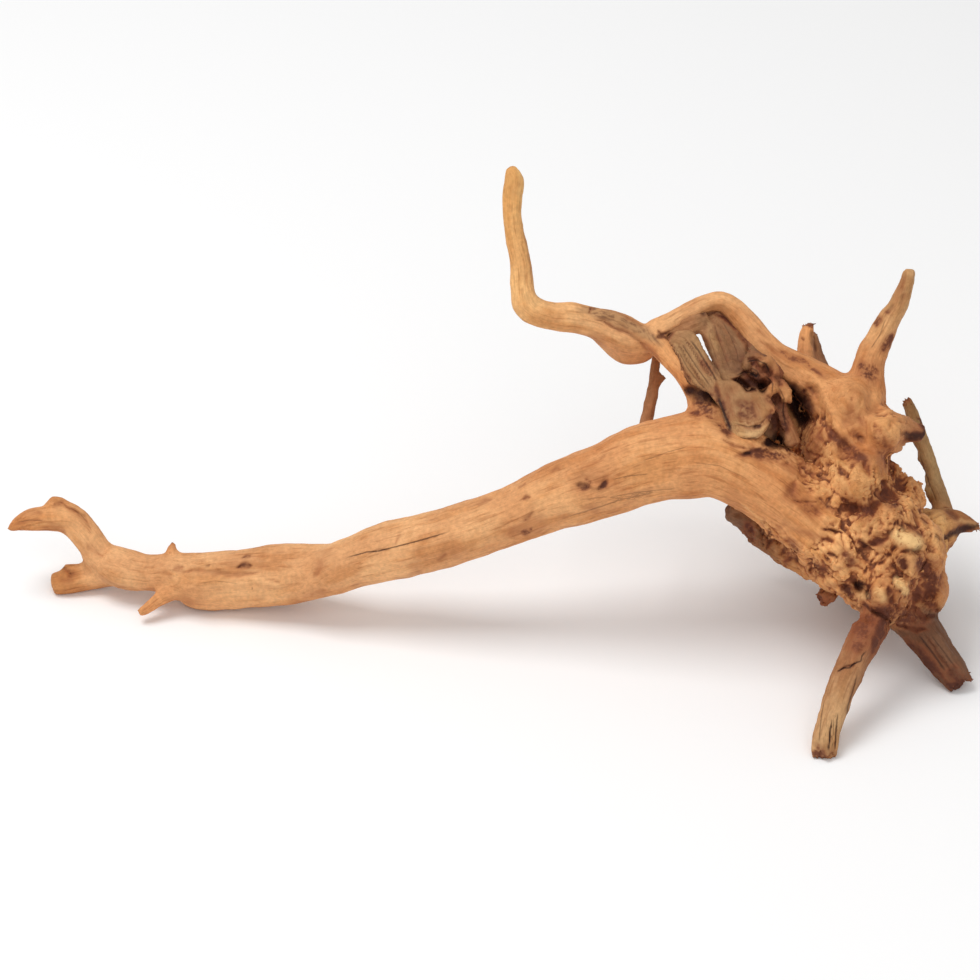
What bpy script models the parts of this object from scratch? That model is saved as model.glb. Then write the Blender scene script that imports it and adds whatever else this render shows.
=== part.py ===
"""Aquarium driftwood: one branching piece of root wood, parted at its main forks.

The wood spreads in one plane that leans back, and every limb is drawn in that plane:
across to the right, up along the lean and towards the viewer, in millimetres. The limbs
are lofted as tubes, joined with the knobs of the burl in one skin, given their relief,
and cut level where they touch the ground. The skin is then parted at the forks.
"""

import math

import bmesh
import bpy
import numpy as np
from mathutils import Matrix, Vector, noise

# Driving dimensions
MM = 0.001
LEAN = math.radians(35)
GROUND_DROP = 69.0  # from the middle of the leaning plane down to the ground
ORIGIN_ACROSS = 0.1  # from the middle of the plane to the origin, to the right
ORIGIN_BEHIND = -7.5  # and away from the viewer along the ground
VOXEL = 1.25
SKIN_TRIANGLES = 7400
HEART_TRIANGLES = 600
FORK_GAP = 0.3
HEART_GAP = 0.35
STATION_STEP = 2.0
EASED_AWAY = 0.4  # half width that easing the skin takes off a limb
SIDES = 20

# Limbs: stations of (across, up, towards the viewer, half width)
TRUNK = [
    (160.5, -40, 4, 14), (147, -25.5, 4, 15.5), (133, -12.5, 5, 15.5), (118.5, -1, 6, 15.5),
    (104, 8, 6, 16), (92, 13.2, 6, 16.8), (81.5, 13.5, 5, 17.3), (70.5, 12, 4, 16.5), (61.5, 10, 3, 16.2),
    (45.5, 4, 0, 14.8), (25, -3, -5, 13.2), (8.5, -10.5, -10, 11.7), (-18.5, -20, -17, 12),
    (-41.5, -26, -24, 12), (-57.5, -30.5, -28, 10.5), (-67.5, -34.5, -30, 10), (-77, -39.5, -32, 7),
    (-84.5, -43, -34, 4),
]
LEFT_STRAND = [
    (-49.5, -29.5, -29, 6.5), (-60.5, -32, -32, 9.5), (-74.5, -34.5, -36, 11.5), (-88.5, -36, -40, 12.5),
    (-110, -37.5, -44, 12), (-122, -38, -45, 12), (-134, -35.5, -46, 8.5), (-144, -35.5, -48, 7.5),
    (-155, -33.5, -50, 8.5), (-163, -30, -51, 7.5),
]
THORN = [
    (-84, -37, -36, 3), (-101, -40.5, -37, 4), (-117, -41, -40, 5.5), (-126.5, -41.5, -41, 5.5),
    (-132, -42.5, -41, 3.5), (-138, -45, -40, 2.8), (-143, -48.8, -39, 2.2), (-147.5, -51.8, -38, 1.5),
]
NIB = [(-133.3, -32, -46, 5), (-134, -27.5, -45.5, 2.6), (-134.3, -24.6, -45, 1.7), (-134, -22.5, -45, 1.3)]
CLAW = [
    (-158, -32.5, -52, 6.5), (-164.5, -29.5, -53, 7), (-168.5, -23.5, -52, 6), (-173, -17.5, -51, 6),
    (-179, -12.5, -49, 5.5), (-186, -11.9, -47, 5.2), (-192, -12.4, -46, 4.8), (-197.5, -13.8, -45, 3.5),
    (-201, -15.5, -44.5, 2), (-203.5, -17, -44, 0.9),
]
CLAW_RIDGE = [
    (-166.5, -18, -50, 1.8), (-173.5, -10.5, -49, 2.5), (-180, -7, -47, 2.7), (-184, -6, -46, 3.5),
    (-186, -7.5, -46, 2.7),
]
TIP_STUB = [
    (-151, -33.5, -54, 5), (-161.5, -35.5, -56, 5), (-170, -37, -57, 5), (-177.5, -38.5, -57, 5),
    (-182, -39.5, -57, 5), (-186, -40.2, -57, 4.2),
]
STUB_SPIKE = [(-167, -34.5, -57, 3), (-172, -33.5, -57, 2.2), (-178, -33, -57, 1.8), (-181.5, -33, -57, 1.2)]
ARCH = [
    (151.5, 20.5, -4, 14), (145, 32, -6, 13), (136, 41, -8, 10.5), (127, 48.5, -9, 7.5),
    (118.5, 54.5, -10, 6), (112.5, 61, -11, 5.5), (106.5, 68.5, -12, 5), (101.5, 74, -13, 4.5),
    (95.5, 78, -13, 4), (88, 76.5, -12, 3.6), (80.5, 73, -10, 3.5), (74, 69, -8, 3.7), (68, 65.5, -6, 4.5),
]
INNER = [
    (66.5, 64, -5, 5), (68, 60.5, -3, 4.5), (72.5, 56, -1, 4), (78, 49.5, 1, 4), (84.5, 41.5, 3, 5),
    (88.5, 33.5, 4, 7.5), (91, 23.5, 4, 11.5),
]
TWIG = [
    (70.5, 62.5, -8, 4.5), (63.5, 62, -9, 6), (57, 62.5, -9, 7), (50, 65.5, -8, 7), (43, 68.5, -6, 6),
    (35, 70.5, -4, 6), (27, 71, -3, 5.5), (20.5, 72.5, -2, 5.5), (15, 76, -1, 5.5), (13.5, 82, 0, 4.7),
    (12.5, 93.5, 1, 4.2), (10, 105.5, 2, 3.8), (9, 114, 3, 3.7), (9.2, 121, 3, 4), (9.8, 126.5, 3, 3.9),
    (9.3, 130, 3, 2.9), (8.6, 132.6, 3, 1.6),
]
LOBE = [
    (67, 60, -12, 3.5), (62.5, 58.5, -13, 6), (57, 59, -14, 7), (51.5, 62, -13, 6), (45.5, 65.5, -11, 4.5),
]
TWIG_RIDGE = [
    (42, 72, -3, 2.5), (47, 71.5, -3, 3), (54, 69, -4, 3.5), (60.5, 65.5, -4, 3.5), (66.5, 62.5, -3, 3.5),
]
HORN = [
    (153, 36, -6, 10.5), (154.9, 43.5, -7, 7.5), (155.6, 50.5, -8, 6.2), (157.6, 57, -8, 5.7),
    (160.6, 63, -8, 5.3), (163.3, 68, -7, 4.8), (164.6, 70.8, -7, 4.5), (166.7, 74, -7, 3.8),
    (168.7, 78.2, -6, 3.4), (170.3, 82.4, -5, 2.9), (171.5, 86.5, -4, 2.5), (172.3, 90.8, -4, 1.7),
]
HORN_SHOULDER = [(160.3, 66, -7, 2.4), (160.9, 69.2, -7, 2.2), (162.3, 71.2, -7, 1.6)]
SIDE_ROOT = [
    (190, -14, -26, 4.6), (188.7, -6, -28, 3.7), (186, 2, -29, 3.3), (184, 9, -30, 3.2),
    (181.7, 17, -31, 3.1), (178.5, 26.5, -32, 2.9), (176.3, 33, -33, 2.8), (174.7, 37.5, -33, 2.3),
]
LEG_FRONT = [
    (162, -41, 8, 10), (158.7, -48, 11, 7.5), (155, -55, 14, 6.8), (150.3, -63, 18, 6.2), (146, -71, 21, 5.9),
    (142.5, -78.5, 24, 5.5), (139.5, -86, 27, 5.5), (136.7, -93.5, 29, 5.2), (134.8, -100.5, 31, 5),
    (134.1, -106.4, 32.4, 4.8),
]
LEG_REAR = [
    (169.5, -41, -6, 11.5), (173, -50, -5, 10), (177, -57, -4, 8.3), (181.7, -64, -3, 7.2),
    (186.3, -70, -2, 6.2), (190, -74.5, -2, 5.7), (193, -79.2, -2, 5),
]
BACK_TWIG = [
    (62.5, 12.5, -13, 4.2), (63, 18.5, -16, 3.2), (64.5, 27.5, -19, 2.6), (66.3, 35.5, -21, 2.3),
    (67.8, 42.5, -22, 2.1), (68.5, 50, -22, 1.8), (69, 57, -21, 1.8),
]
BACK_SPRIG = [(68.5, 43, -22, 1.6), (70.5, 45.2, -21, 1.2), (72.8, 47.3, -20, 1)]
KNUCKLE = [
    (175.5, -22.5, -12, 9.5), (181.5, -19.5, -16, 9.5), (186.5, -16.5, -20, 8.6), (190.5, -14.6, -22, 6.8),
    (194.5, -13.2, -23, 4.6), (199, -14.2, -23, 3.2), (203, -15.8, -23, 1.8),
]
RIGHT_STUB = [
    (156.5, 22, 2, 12.5), (163, 24, 2, 8.5), (169, 25, 1, 5.5), (173, 24, 0, 4), (177.5, 23, -1, 3.5),
]
TWIN_STUB_LEFT = [(134, 43.5, -22, 5), (132, 53.5, -25, 3.6), (131.5, 60.5, -27, 3.2), (132.7, 69, -28, 2.5)]
TWIN_STUB_RIGHT = [(140, 43, -24, 5), (137, 55, -31, 3), (135.5, 62, -33, 2.5), (135, 66, -34, 1.8)]
SMALL_STUB = [(148, -34, -6, 5.5), (144.5, -38.5, -9, 4), (140.5, -42, -11, 3.5), (137, -46, -12, 3)]
SKIRT = [
    (98.5, -8.5, -10, 4), (105.5, -11.5, -12, 5), (113.5, -16.5, -13, 7), (123.5, -21.5, -12, 9.2),
    (135, -26.5, -8, 10), (144.5, -29.5, -4, 10),
]
HEEL = [(160, -24, -26, 17), (165, -33, -42, 14), (168, -38, -54, 11.5), (169, -41, -62, 9)]
BACK_STUB_HIGH = [(150, 6, -30, 12), (146, 14, -44, 8), (143, 20, -52, 6), (141, 25, -59, 4.5)]
BACK_STUB_LOW = [(140, -14, -26, 12), (128, -18, -42, 7), (120, -17, -50, 5), (114, -15, -56, 3.5)]

# The grey wood left between the two strands
WEB_LEFT = [(71, 63, -7, 4), (78, 66.5, -9, 5), (85.5, 69.5, -10, 4.5), (89.5, 71, -11, 3.5)]
WEB_RIGHT = [(91, 71, -12, 3.5), (99, 63, -12, 5.5), (106.5, 54, -9, 6.5), (112, 46, -6, 7), (116, 39, -5, 7)]
BURR = [(104.5, 53.5, 1, 4.5), (109, 51, 2, 5.5), (113, 48, 3, 5.5), (116.5, 44.5, 3, 4.5)]
CREST = [
    (115.5, 45, 4, 2.6), (117.3, 42, 5, 2), (118.3, 37, 5, 1.9), (118.6, 31.5, 6, 2.3),
    (120.8, 25.5, 7, 2.8), (124, 18.5, 7, 3),
]
KNOT_BACK = [
    (97, 49, 0, 4.5), (104, 46, 1, 5), (111, 42, 2, 5), (114.5, 34, 2, 5), (113, 25, 2, 5), (112, 19, 2, 4),
]

# Its slabs of split wood: the outline of the face, as (across, up, towards the viewer)
LEAF = [
    (86, 72.5, -12), (88, 75.5, -13), (91.5, 76, -13), (96, 74.5, -13), (100, 72, -13),
    (103.5, 68.5, -11), (105.5, 64, -9), (106.5, 58.5, -7), (106.5, 56, -4), (104.5, 52.5, 0), (103, 48, 5),
    (101, 45, 8), (95.5, 43, 9), (93.2, 48.5, 6), (91.4, 53.5, 0), (88.7, 59.5, -5), (86.7, 66, -8),
]
FAN = [
    (72.5, 62.5, 0), (74.5, 64, -1), (78.5, 65.5, -1), (83, 65.5, -1), (85.4, 62.5, 1), (87, 58.2, 2),
    (89.2, 54.1, 4), (91.6, 50.8, 7), (93.9, 47.2, 9), (94.8, 42.5, 12), (96.5, 36.5, 14), (94.5, 32.5, 15),
    (91.5, 36, 14), (89, 39.5, 12), (84.5, 41.5, 10), (81, 43.5, 8.5), (78, 48.5, 6.5), (76, 54.5, 4),
    (74, 58.5, 2.5),
]
BLOCK = [
    (92, 44, 12), (94.5, 44.5, 12), (99.5, 44.5, 13), (102.5, 42.5, 14), (105, 40, 15), (109, 38.5, 16),
    (113, 38, 16), (115.5, 35.5, 16), (116.5, 33.5, 16), (115.5, 31, 17), (113.5, 27, 18), (111, 23, 18),
    (108.5, 21, 18), (103.5, 20.5, 18), (98.5, 20.5, 18), (96.5, 24.5, 17), (95, 29, 16), (93.5, 34.5, 14),
    (92.5, 40, 12),
]

# Knobs of the burl: middle (across, up, towards) and half sizes in the same directions
KNOBS = [
    ((146.5, 35, -8), (12.5, 13, 20)), ((160, 23, -2), (10, 11.5, 18)), ((141.5, 18, -12), (14, 16.5, 24)),
    ((149.5, 3.5, -10), (19, 19.5, 30)), ((137, -10.5, -8), (18, 16.5, 27)),
    ((156, -15.5, -8), (21.5, 19.5, 32)), ((169.5, -27, -8), (18.5, 19, 30)),
    ((176, -40, -8), (13, 14, 18)), ((162.5, -41.5, -4), (13.5, 12.5, 24)),
    ((147, -28.5, -4), (15.5, 11, 26)), ((170.5, -5.5, -14), (7, 12, 16)), ((181, -12, -22), (5, 5, 7)),
    ((123, 30, -16), (10, 17, 9)), ((169.5, -20.7, 14), (6.5, 4.5, 7)), ((168, -38.5, 14), (3.7, 3.7, 5)),
    ((159.5, -41, 16), (4, 5.2, 5.5)),
]

# Relief of the burl and the limbs
LUMP_SIZES = (13.0, 6.0)
LUMP_HEIGHTS = (2.2, 1.3)
LIMB_RELIEF = 0.35
FLUTES = ((3, 0.035, 1.7, 0.4), (5, 0.02, -2.3, 1.9))  # count, share of the radius, turns of phase, start
SPLIT_FLUTES = ((4, 0.07, 0.15, 0.9), (3, 0.05, 0.6, 0.4))  # the same where the wood has split into flats
END_BULGE = 0.2  # how far a limb's end stands out, as a share of its half width

# Hollows pressed in from the viewer's side: across, up, half width, half height, depth
HOLLOWS = [
    (125.5, 31, 4.5, 8, 4), (120, 21, 6, 3, 3), (132, 39.5, 3.5, 3.5, 4), (146, -37, 4, 3, 4),
    (137, 22, 2.5, 9, 2.5), (145, 12, 3, 8, 2.5), (175.5, -33, 4.5, 7, 3), (157, -51, 4, 2.5, 3),
    (140, -8, 7, 2, 2.5), (136, -4, 3, 2.5, 2.5), (104, 33, 3, 8, 3),
]

# Forks: a point on the cut, the limb's way through it and how far the cut reaches
FORKS = {
    "main_branch": ((104, 8, 5), (-0.85, 0.53, 0), 27),
    "tip_claw": ((-169.5, -22, -52), (-0.5, 0.86, 0), 9),
    "tip_stub": ((-173.5, -37.7, -57), (-1, -0.17, 0), 7.5),
    "arch_low": ((122, 51.5, -9.5), (-0.8, 0.6, 0), 11),
    "arch_high": ((71.5, 67.5, -7), (-0.85, -0.5, 0), 7),
    "long_twig": ((62, 61, -9), (-1, 0.05, 0), 13),
    "inner_branch": ((84.3, 42, 3), (-0.55, 0.83, 0), 9),
    "horn": ((155.5, 47, -7.5), (0.2, 1, 0), 10),
    "side_root": ((188, -5, -28), (-0.35, 1, 0), 7),
    "leg_front": ((154.5, -54, 13.5), (-0.4, -0.85, 0.35), 12),
    "leg_rear": ((178.5, -58.5, -3.7), (0.5, -0.85, 0), 13),
    "back_twig": ((62.5, 22, -17), (0.15, 1, -0.2), 6),
}


def from_plane(across, up, towards):
    """A point of the leaning plane as a point over the ground, in millimetres from the plane's middle."""
    behind = up * math.sin(LEAN) - towards * math.cos(LEAN)
    height = up * math.cos(LEAN) + towards * math.sin(LEAN)
    return Vector((across, behind, height + GROUND_DROP))


def direction(vector):
    """A direction of the leaning plane as one of the world."""
    return (from_plane(*vector) - from_plane(0, 0, 0)).normalized()


def smooth_stations(stations):
    """Catmull-Rom points through the stations, a step apart."""
    points = np.array(stations, float)
    before = np.vstack([2 * points[0] - points[1], points[:-1]])
    after = np.vstack([points[1:], 2 * points[-1] - points[-2]])
    found = [points[0]]
    for i in range(len(points) - 1):
        start_slope = (points[i + 1] - before[i]) / 2
        end_slope = (after[i + 1] - points[i]) / 2
        steps = max(1, round(float(np.linalg.norm(points[i + 1, :3] - points[i, :3])) / STATION_STEP))
        for t in np.arange(1, steps + 1) / steps:
            near = (1 + 2 * t) * (1 - t) ** 2 * points[i] + t * (1 - t) ** 2 * start_slope
            far = t * t * (3 - 2 * t) * points[i + 1] + t * t * (t - 1) * end_slope
            found.append(near + far)
    return np.array(found)


def add_limb(bm, stations, depth_share=1.0):
    """A closed, fluted tube through the stations, with blunt ends, as deep as this share of its width."""
    flutes = SPLIT_FLUTES if stations in SPLIT_LIMBS else FLUTES
    path = smooth_stations(stations)
    middles = [from_plane(*row[:3]) for row in path]
    side = direction((0, 0, 1)).cross(middles[1] - middles[0]).normalized()
    rings = []
    for i, middle in enumerate(middles):
        along = (middles[min(i + 1, len(middles) - 1)] - middles[max(i - 1, 0)]).normalized()
        side = (side - along * side.dot(along)).normalized()
        depth = along.cross(side)
        radius = float(path[i, 3]) + EASED_AWAY
        ring = []
        for k in range(SIDES):
            angle = 2 * math.pi * k / SIDES
            swell = 1.0
            for count, share, turns, start in flutes:
                phase = start + 2 * math.pi * turns * i / len(middles)
                swell += share * math.cos(count * angle + phase)
            offset = side * math.cos(angle) + depth * (math.sin(angle) * depth_share)
            ring.append(bm.verts.new(middle + offset * radius * swell))
        rings.append(ring)
    for ring, following in zip(rings, rings[1:]):
        for k in range(SIDES):
            after = (k + 1) % SIDES
            bm.faces.new((ring[k], ring[after], following[after], following[k]))
    for ring, middle, beyond in ((rings[0], middles[0], middles[1]), (rings[-1], middles[-1], middles[-2])):
        reach = float(path[0 if ring is rings[0] else -1, 3]) * END_BULGE
        tip = bm.verts.new(middle + (middle - beyond).normalized() * reach)
        for k in range(SIDES):
            bm.faces.new((ring[k], ring[(k + 1) % SIDES], tip))


def add_slab(bm, outline, thickness):
    """A slab of split wood: its face has this outline, and its back the same one farther from the viewer."""
    front = [bm.verts.new(from_plane(*point)) for point in outline]
    back = [bm.verts.new(from_plane(across, up, towards - thickness)) for across, up, towards in outline]
    bm.faces.new(front)
    bm.faces.new(back[::-1])
    for k in range(len(outline)):
        after = (k + 1) % len(outline)
        bm.faces.new((front[k], front[after], back[after], back[k]))


def add_knob(bm, middle, half_sizes):
    """An ellipsoid of the burl, its axes along the leaning plane."""
    frame = Matrix([direction(axis) for axis in ((1, 0, 0), (0, 1, 0), (0, 0, 1))]).transposed()
    place = Matrix.Translation(from_plane(*middle)) @ (frame @ Matrix.Diagonal(half_sizes)).to_4x4()
    bmesh.ops.create_icosphere(bm, subdivisions=3, radius=1, matrix=place)


def object_of(name, bm):
    """A new object in the scene that holds this mesh."""
    bmesh.ops.recalc_face_normals(bm, faces=bm.faces)
    mesh = bpy.data.meshes.new(name)
    bm.to_mesh(mesh)
    bm.free()
    thing = bpy.data.objects.new(name, mesh)
    bpy.context.scene.collection.objects.link(thing)
    return thing


def applied(thing):
    """The object's mesh with its modifiers in it, in place of the old one."""
    graph = bpy.context.evaluated_depsgraph_get()
    thing.modifiers.update()
    new = bpy.data.meshes.new_from_object(thing.evaluated_get(graph))
    thing.modifiers.clear()
    thing.data = new


def islands(bm):
    """The groups of faces that hold together."""
    left = set(bm.faces)
    found = []
    while left:
        start = left.pop()
        group = [start]
        waiting = [start]
        while waiting:
            face = waiting.pop()
            for edge in face.edges:
                for other in edge.link_faces:
                    if other in left:
                        left.remove(other)
                        group.append(other)
                        waiting.append(other)
        found.append(group)
    return found


def keep_largest(thing):
    """Leaves only the outer skin: the shapes can shut small pockets in."""
    bm = bmesh.new()
    bm.from_mesh(thing.data)
    groups = sorted(islands(bm), key=len)
    pockets = [face for group in groups[:-1] for face in group]
    bmesh.ops.delete(bm, geom=pockets, context="FACES")
    bm.to_mesh(thing.data)
    bm.free()


def fused(thing):
    """One even skin round all the overlapping shapes of the object, its creases eased."""
    remesh = thing.modifiers.new("skin", "REMESH")
    remesh.mode = "VOXEL"
    remesh.voxel_size = VOXEL
    ease = thing.modifiers.new("ease", "SMOOTH")
    ease.factor = 0.5
    ease.iterations = 3
    applied(thing)
    keep_largest(thing)


def smoothstep(low, high, value):
    share = min(1.0, max(0.0, (value - low) / (high - low)))
    return share * share * (3 - 2 * share)


def burl_share(plane_point):
    """1 on the burl, 0 on the limbs, from a point of the leaning plane."""
    across, up = plane_point[0], plane_point[1]
    near = math.hypot((across - 156) / 30, (up + 14) / 46)
    return 1 - smoothstep(0.85, 1.15, near)


def to_plane(point):
    """A point of the world as a point of the leaning plane."""
    height = point.z - GROUND_DROP
    up = point.y * math.sin(LEAN) + height * math.cos(LEAN)
    towards = height * math.sin(LEAN) - point.y * math.cos(LEAN)
    return (point.x, up, towards)


def carve(thing):
    """Lumps on the burl, faint relief on the limbs and the hollows on the viewer's side."""
    viewer = direction((0, 0, 1))
    moves = []
    for vertex in thing.data.vertices:
        plane_point = to_plane(vertex.co)
        burl = burl_share(plane_point)
        rise = 0.0
        for size, height in zip(LUMP_SIZES, LUMP_HEIGHTS):
            rise += noise.noise(vertex.co / size) * (height * burl + LIMB_RELIEF * (1 - burl))
        move = vertex.normal * rise
        facing = smoothstep(0.0, 0.4, vertex.normal.dot(viewer))
        for across, up, half_width, half_height, depth in HOLLOWS:
            far = math.hypot((plane_point[0] - across) / half_width, (plane_point[1] - up) / half_height)
            if far < 1.6:
                move -= viewer * depth * facing * (1 - smoothstep(0.2, 1.6, far))
        moves.append(vertex.co + move)
    for vertex, place in zip(thing.data.vertices, moves):
        vertex.co = place


def reduced(thing, triangles):
    """The object with fewer faces, most of them kept where the shape bends."""
    count = sum(len(polygon.vertices) - 2 for polygon in thing.data.polygons)
    fewer = thing.modifiers.new("fewer", "DECIMATE")
    fewer.ratio = triangles / count
    fewer.use_collapse_triangulate = True
    applied(thing)


def cut_level(bm):
    """Cuts off flat what would reach below the ground."""
    everything = bm.verts[:] + bm.edges[:] + bm.faces[:]
    bmesh.ops.bisect_plane(bm, geom=everything, plane_co=(0, 0, 0), plane_no=(0, 0, 1), clear_inner=True)
    bmesh.ops.holes_fill(bm, edges=[edge for edge in bm.edges if edge.is_boundary])


def crossed_faces(bm, place, way, middle, reach):
    """The faces that a plane crosses within reach of the middle of a limb."""
    found = set()
    for edge in bm.edges:
        start, end = (vertex.co for vertex in edge.verts)
        before, after = (start - place).dot(way), (end - place).dot(way)
        if before * after < 0:
            crossing = start.lerp(end, before / (before - after))
            if (crossing - middle).length < reach:
                found.update(edge.link_faces)
    return found


def cut_fork(bm, middle, way, reach):
    """Parts the skin across one limb, with a thin gap, and closes both sides."""
    middle = from_plane(*middle)
    way = direction(way)
    for side in (-1, 1):
        place = middle + way * (side * FORK_GAP / 2)
        around = crossed_faces(bm, place, way, middle, reach)
        for face in list(around):
            around.update(face.verts)
            around.update(face.edges)
        bmesh.ops.bisect_plane(bm, geom=list(around), plane_co=place, plane_no=way, dist=1e-5)
    between = []
    for face in bm.faces:
        inside = all(abs((vertex.co - middle).dot(way)) < FORK_GAP / 2 + 1e-3 for vertex in face.verts)
        if inside and (face.calc_center_median() - middle).length < reach:
            between.append(face)
    bmesh.ops.delete(bm, geom=between, context="FACES")
    bmesh.ops.holes_fill(bm, edges=[edge for edge in bm.edges if edge.is_boundary])


def distance_to(faces, place):
    """How far the nearest middle of these faces is from a place."""
    return min((face.calc_center_median() - place).length for face in faces)


def piece_from(name, faces):
    """A new object from some faces of the skin."""
    bm = bmesh.new()
    made = {}
    for face in faces:
        for vertex in face.verts:
            if vertex not in made:
                made[vertex] = bm.verts.new(vertex.co)
        bm.faces.new([made[vertex] for vertex in face.verts])
    bmesh.ops.triangulate(bm, faces=bm.faces)
    return object_of(name, bm)


# Each node: a station inside it and its colour
NODES = {
    "root_crown": ((150, 0, -8), (0.50, 0.27, 0.12)),
    "main_branch": ((8.5, -10.5, -10), (0.72, 0.42, 0.19)),
    "tip_claw": ((-179, -12.5, -49), (0.66, 0.36, 0.15)),
    "tip_stub": ((-177.5, -38.5, -57), (0.66, 0.38, 0.17)),
    "arch_branch": ((101.5, 74, -13), (0.70, 0.40, 0.17)),
    "inner_branch": ((76.5, 49, 1), (0.64, 0.36, 0.16)),
    "long_twig": ((35, 70.5, -4), (0.72, 0.42, 0.17)),
    "horn": ((164, 69.5, -7), (0.55, 0.32, 0.16)),
    "side_root": ((181.5, 17, -31), (0.37, 0.25, 0.12)),
    "leg_front": ((142.5, -78.5, 24), (0.40, 0.22, 0.10)),
    "leg_rear": ((186, -69.5, -2), (0.24, 0.12, 0.06)),
    "back_twig": ((67, 42.5, -22), (0.50, 0.26, 0.12)),
}
HEART_COLOUR = (0.36, 0.22, 0.11)
WOOD_ROUGHNESS = 0.7

SKIN_LIMBS = [
    TRUNK, LEFT_STRAND, THORN, NIB, CLAW, CLAW_RIDGE, TIP_STUB, STUB_SPIKE, ARCH, INNER, TWIG, LOBE,
    TWIG_RIDGE, HORN, HORN_SHOULDER, SIDE_ROOT, LEG_FRONT, LEG_REAR, BACK_TWIG, BACK_SPRIG, KNUCKLE,
    RIGHT_STUB, TWIN_STUB_LEFT, TWIN_STUB_RIGHT, SMALL_STUB, SKIRT, HEEL, BACK_STUB_HIGH, BACK_STUB_LOW,
]
SPLIT_LIMBS = [LEG_FRONT, LEG_REAR, SIDE_ROOT, TWIN_STUB_RIGHT, SMALL_STUB, TIP_STUB]
HEART_LIMBS = [(WEB_LEFT, 0.7), (WEB_RIGHT, 0.6), (KNOT_BACK, 0.6), (BURR, 1.0), (CREST, 1.0)]
HEART_SLABS = [(LEAF, 5), (FAN, 6), (BLOCK, 12)]  # with the thickness of each


def clear_scene():
    for thing in list(bpy.data.objects):
        bpy.data.objects.remove(thing)


def make_skin():
    """The whole wood but its grey heart, as one closed skin."""
    bm = bmesh.new()
    for stations in SKIN_LIMBS:
        add_limb(bm, stations)
    for middle, half_sizes in KNOBS:
        add_knob(bm, middle, half_sizes)
    skin = object_of("skin", bm)
    fused(skin)
    carve(skin)
    reduced(skin, SKIN_TRIANGLES)
    return skin


def make_heart(skin):
    """The grey wood between the strands, trimmed to lie just clear of them."""
    bm = bmesh.new()
    for stations, depth_share in HEART_LIMBS:
        add_limb(bm, stations, depth_share)
    for outline, thickness in HEART_SLABS:
        add_slab(bm, outline, thickness)
    heart = object_of("weathered_heart", bm)
    fused(heart)
    carve(heart)
    reduced(heart, HEART_TRIANGLES)
    bm = bmesh.new()
    bm.from_mesh(skin.data)
    bm.normal_update()
    moved = [vertex.co + vertex.normal * HEART_GAP for vertex in bm.verts]
    for vertex, place in zip(bm.verts, moved):
        vertex.co = place
    swollen = object_of("swollen_skin", bm)
    trim = heart.modifiers.new("trim", "BOOLEAN")
    trim.operation = "DIFFERENCE"
    trim.object = swollen
    applied(heart)
    keep_largest(heart)
    bpy.data.objects.remove(swollen)
    return heart


def part_skin(skin):
    """Cuts the skin level and at its forks, and makes one object of each length of wood."""
    bm = bmesh.new()
    bm.from_mesh(skin.data)
    cut_level(bm)
    for middle, way, reach in FORKS.values():
        cut_fork(bm, middle, way, reach)
    groups = islands(bm)
    pieces = {}
    for name, (seed, _) in NODES.items():
        place = from_plane(*seed)
        nearest = min(groups, key=lambda group: distance_to(group, place))
        pieces[name] = piece_from(name, nearest)
    bm.free()
    if len(groups) != len(NODES):
        raise RuntimeError(f"{len(groups)} lengths of wood for {len(NODES)} names")
    bpy.data.objects.remove(skin)
    return pieces


def finish_piece(piece, colour):
    """Gives a piece its place from the origin in metres, its wood and its shading."""
    piece.data.transform(Matrix.Scale(MM, 4) @ Matrix.Translation((-ORIGIN_ACROSS, -ORIGIN_BEHIND, 0)))
    wood = bpy.data.materials.new(piece.name + "_wood")
    wood.use_nodes = True
    shader = wood.node_tree.nodes["Principled BSDF"]
    shader.inputs["Base Color"].default_value = (*colour, 1)
    shader.inputs["Roughness"].default_value = WOOD_ROUGHNESS
    shader.inputs["Metallic"].default_value = 0.0
    piece.data.materials.append(wood)
    piece.data.shade_smooth()


def main():
    clear_scene()
    skin = make_skin()
    heart = make_heart(skin)
    for name, piece in part_skin(skin).items():
        finish_piece(piece, NODES[name][1])
    finish_piece(heart, HEART_COLOUR)


main()
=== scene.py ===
"""Looks of the aquarium driftwood: a fine skin over its lengths of wood, with grain, burl and weathering.

The wood spreads in one plane that leans back. Limbs are given in that plane, in
millimetres: across to the right, up along the lean and towards the viewer. Marks on the
viewer's side are given as points of the 980 by 980 picture frame, in pixels, with their
widths and depths in millimetres.
"""

import itertools
import math
from collections import namedtuple

import bmesh
import bpy
import numpy as np
from mathutils import Matrix, Vector, noise
from mathutils.bvhtree import BVHTree


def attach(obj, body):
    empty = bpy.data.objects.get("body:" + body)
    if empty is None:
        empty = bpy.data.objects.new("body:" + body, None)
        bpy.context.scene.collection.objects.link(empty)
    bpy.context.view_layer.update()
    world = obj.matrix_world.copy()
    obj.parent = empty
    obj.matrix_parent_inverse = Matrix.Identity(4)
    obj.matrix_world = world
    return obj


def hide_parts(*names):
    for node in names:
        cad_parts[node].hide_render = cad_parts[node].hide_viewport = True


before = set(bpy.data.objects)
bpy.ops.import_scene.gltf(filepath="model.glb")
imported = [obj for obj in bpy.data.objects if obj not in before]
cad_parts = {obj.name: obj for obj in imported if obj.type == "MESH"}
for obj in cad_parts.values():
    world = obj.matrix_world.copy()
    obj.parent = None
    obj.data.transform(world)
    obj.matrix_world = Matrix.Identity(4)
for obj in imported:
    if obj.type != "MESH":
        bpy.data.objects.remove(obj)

bl_info = {
    "name": "Aquarium Driftwood",
    "version": (1, 0, 0),
    "blender": (4, 5, 0),
    "location": "View3D > Sidebar > Driftwood",
    "description": "A branching piece of driftwood with a burl, smooth limbs and a weathered heart",
    "category": "Object",
}

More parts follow.
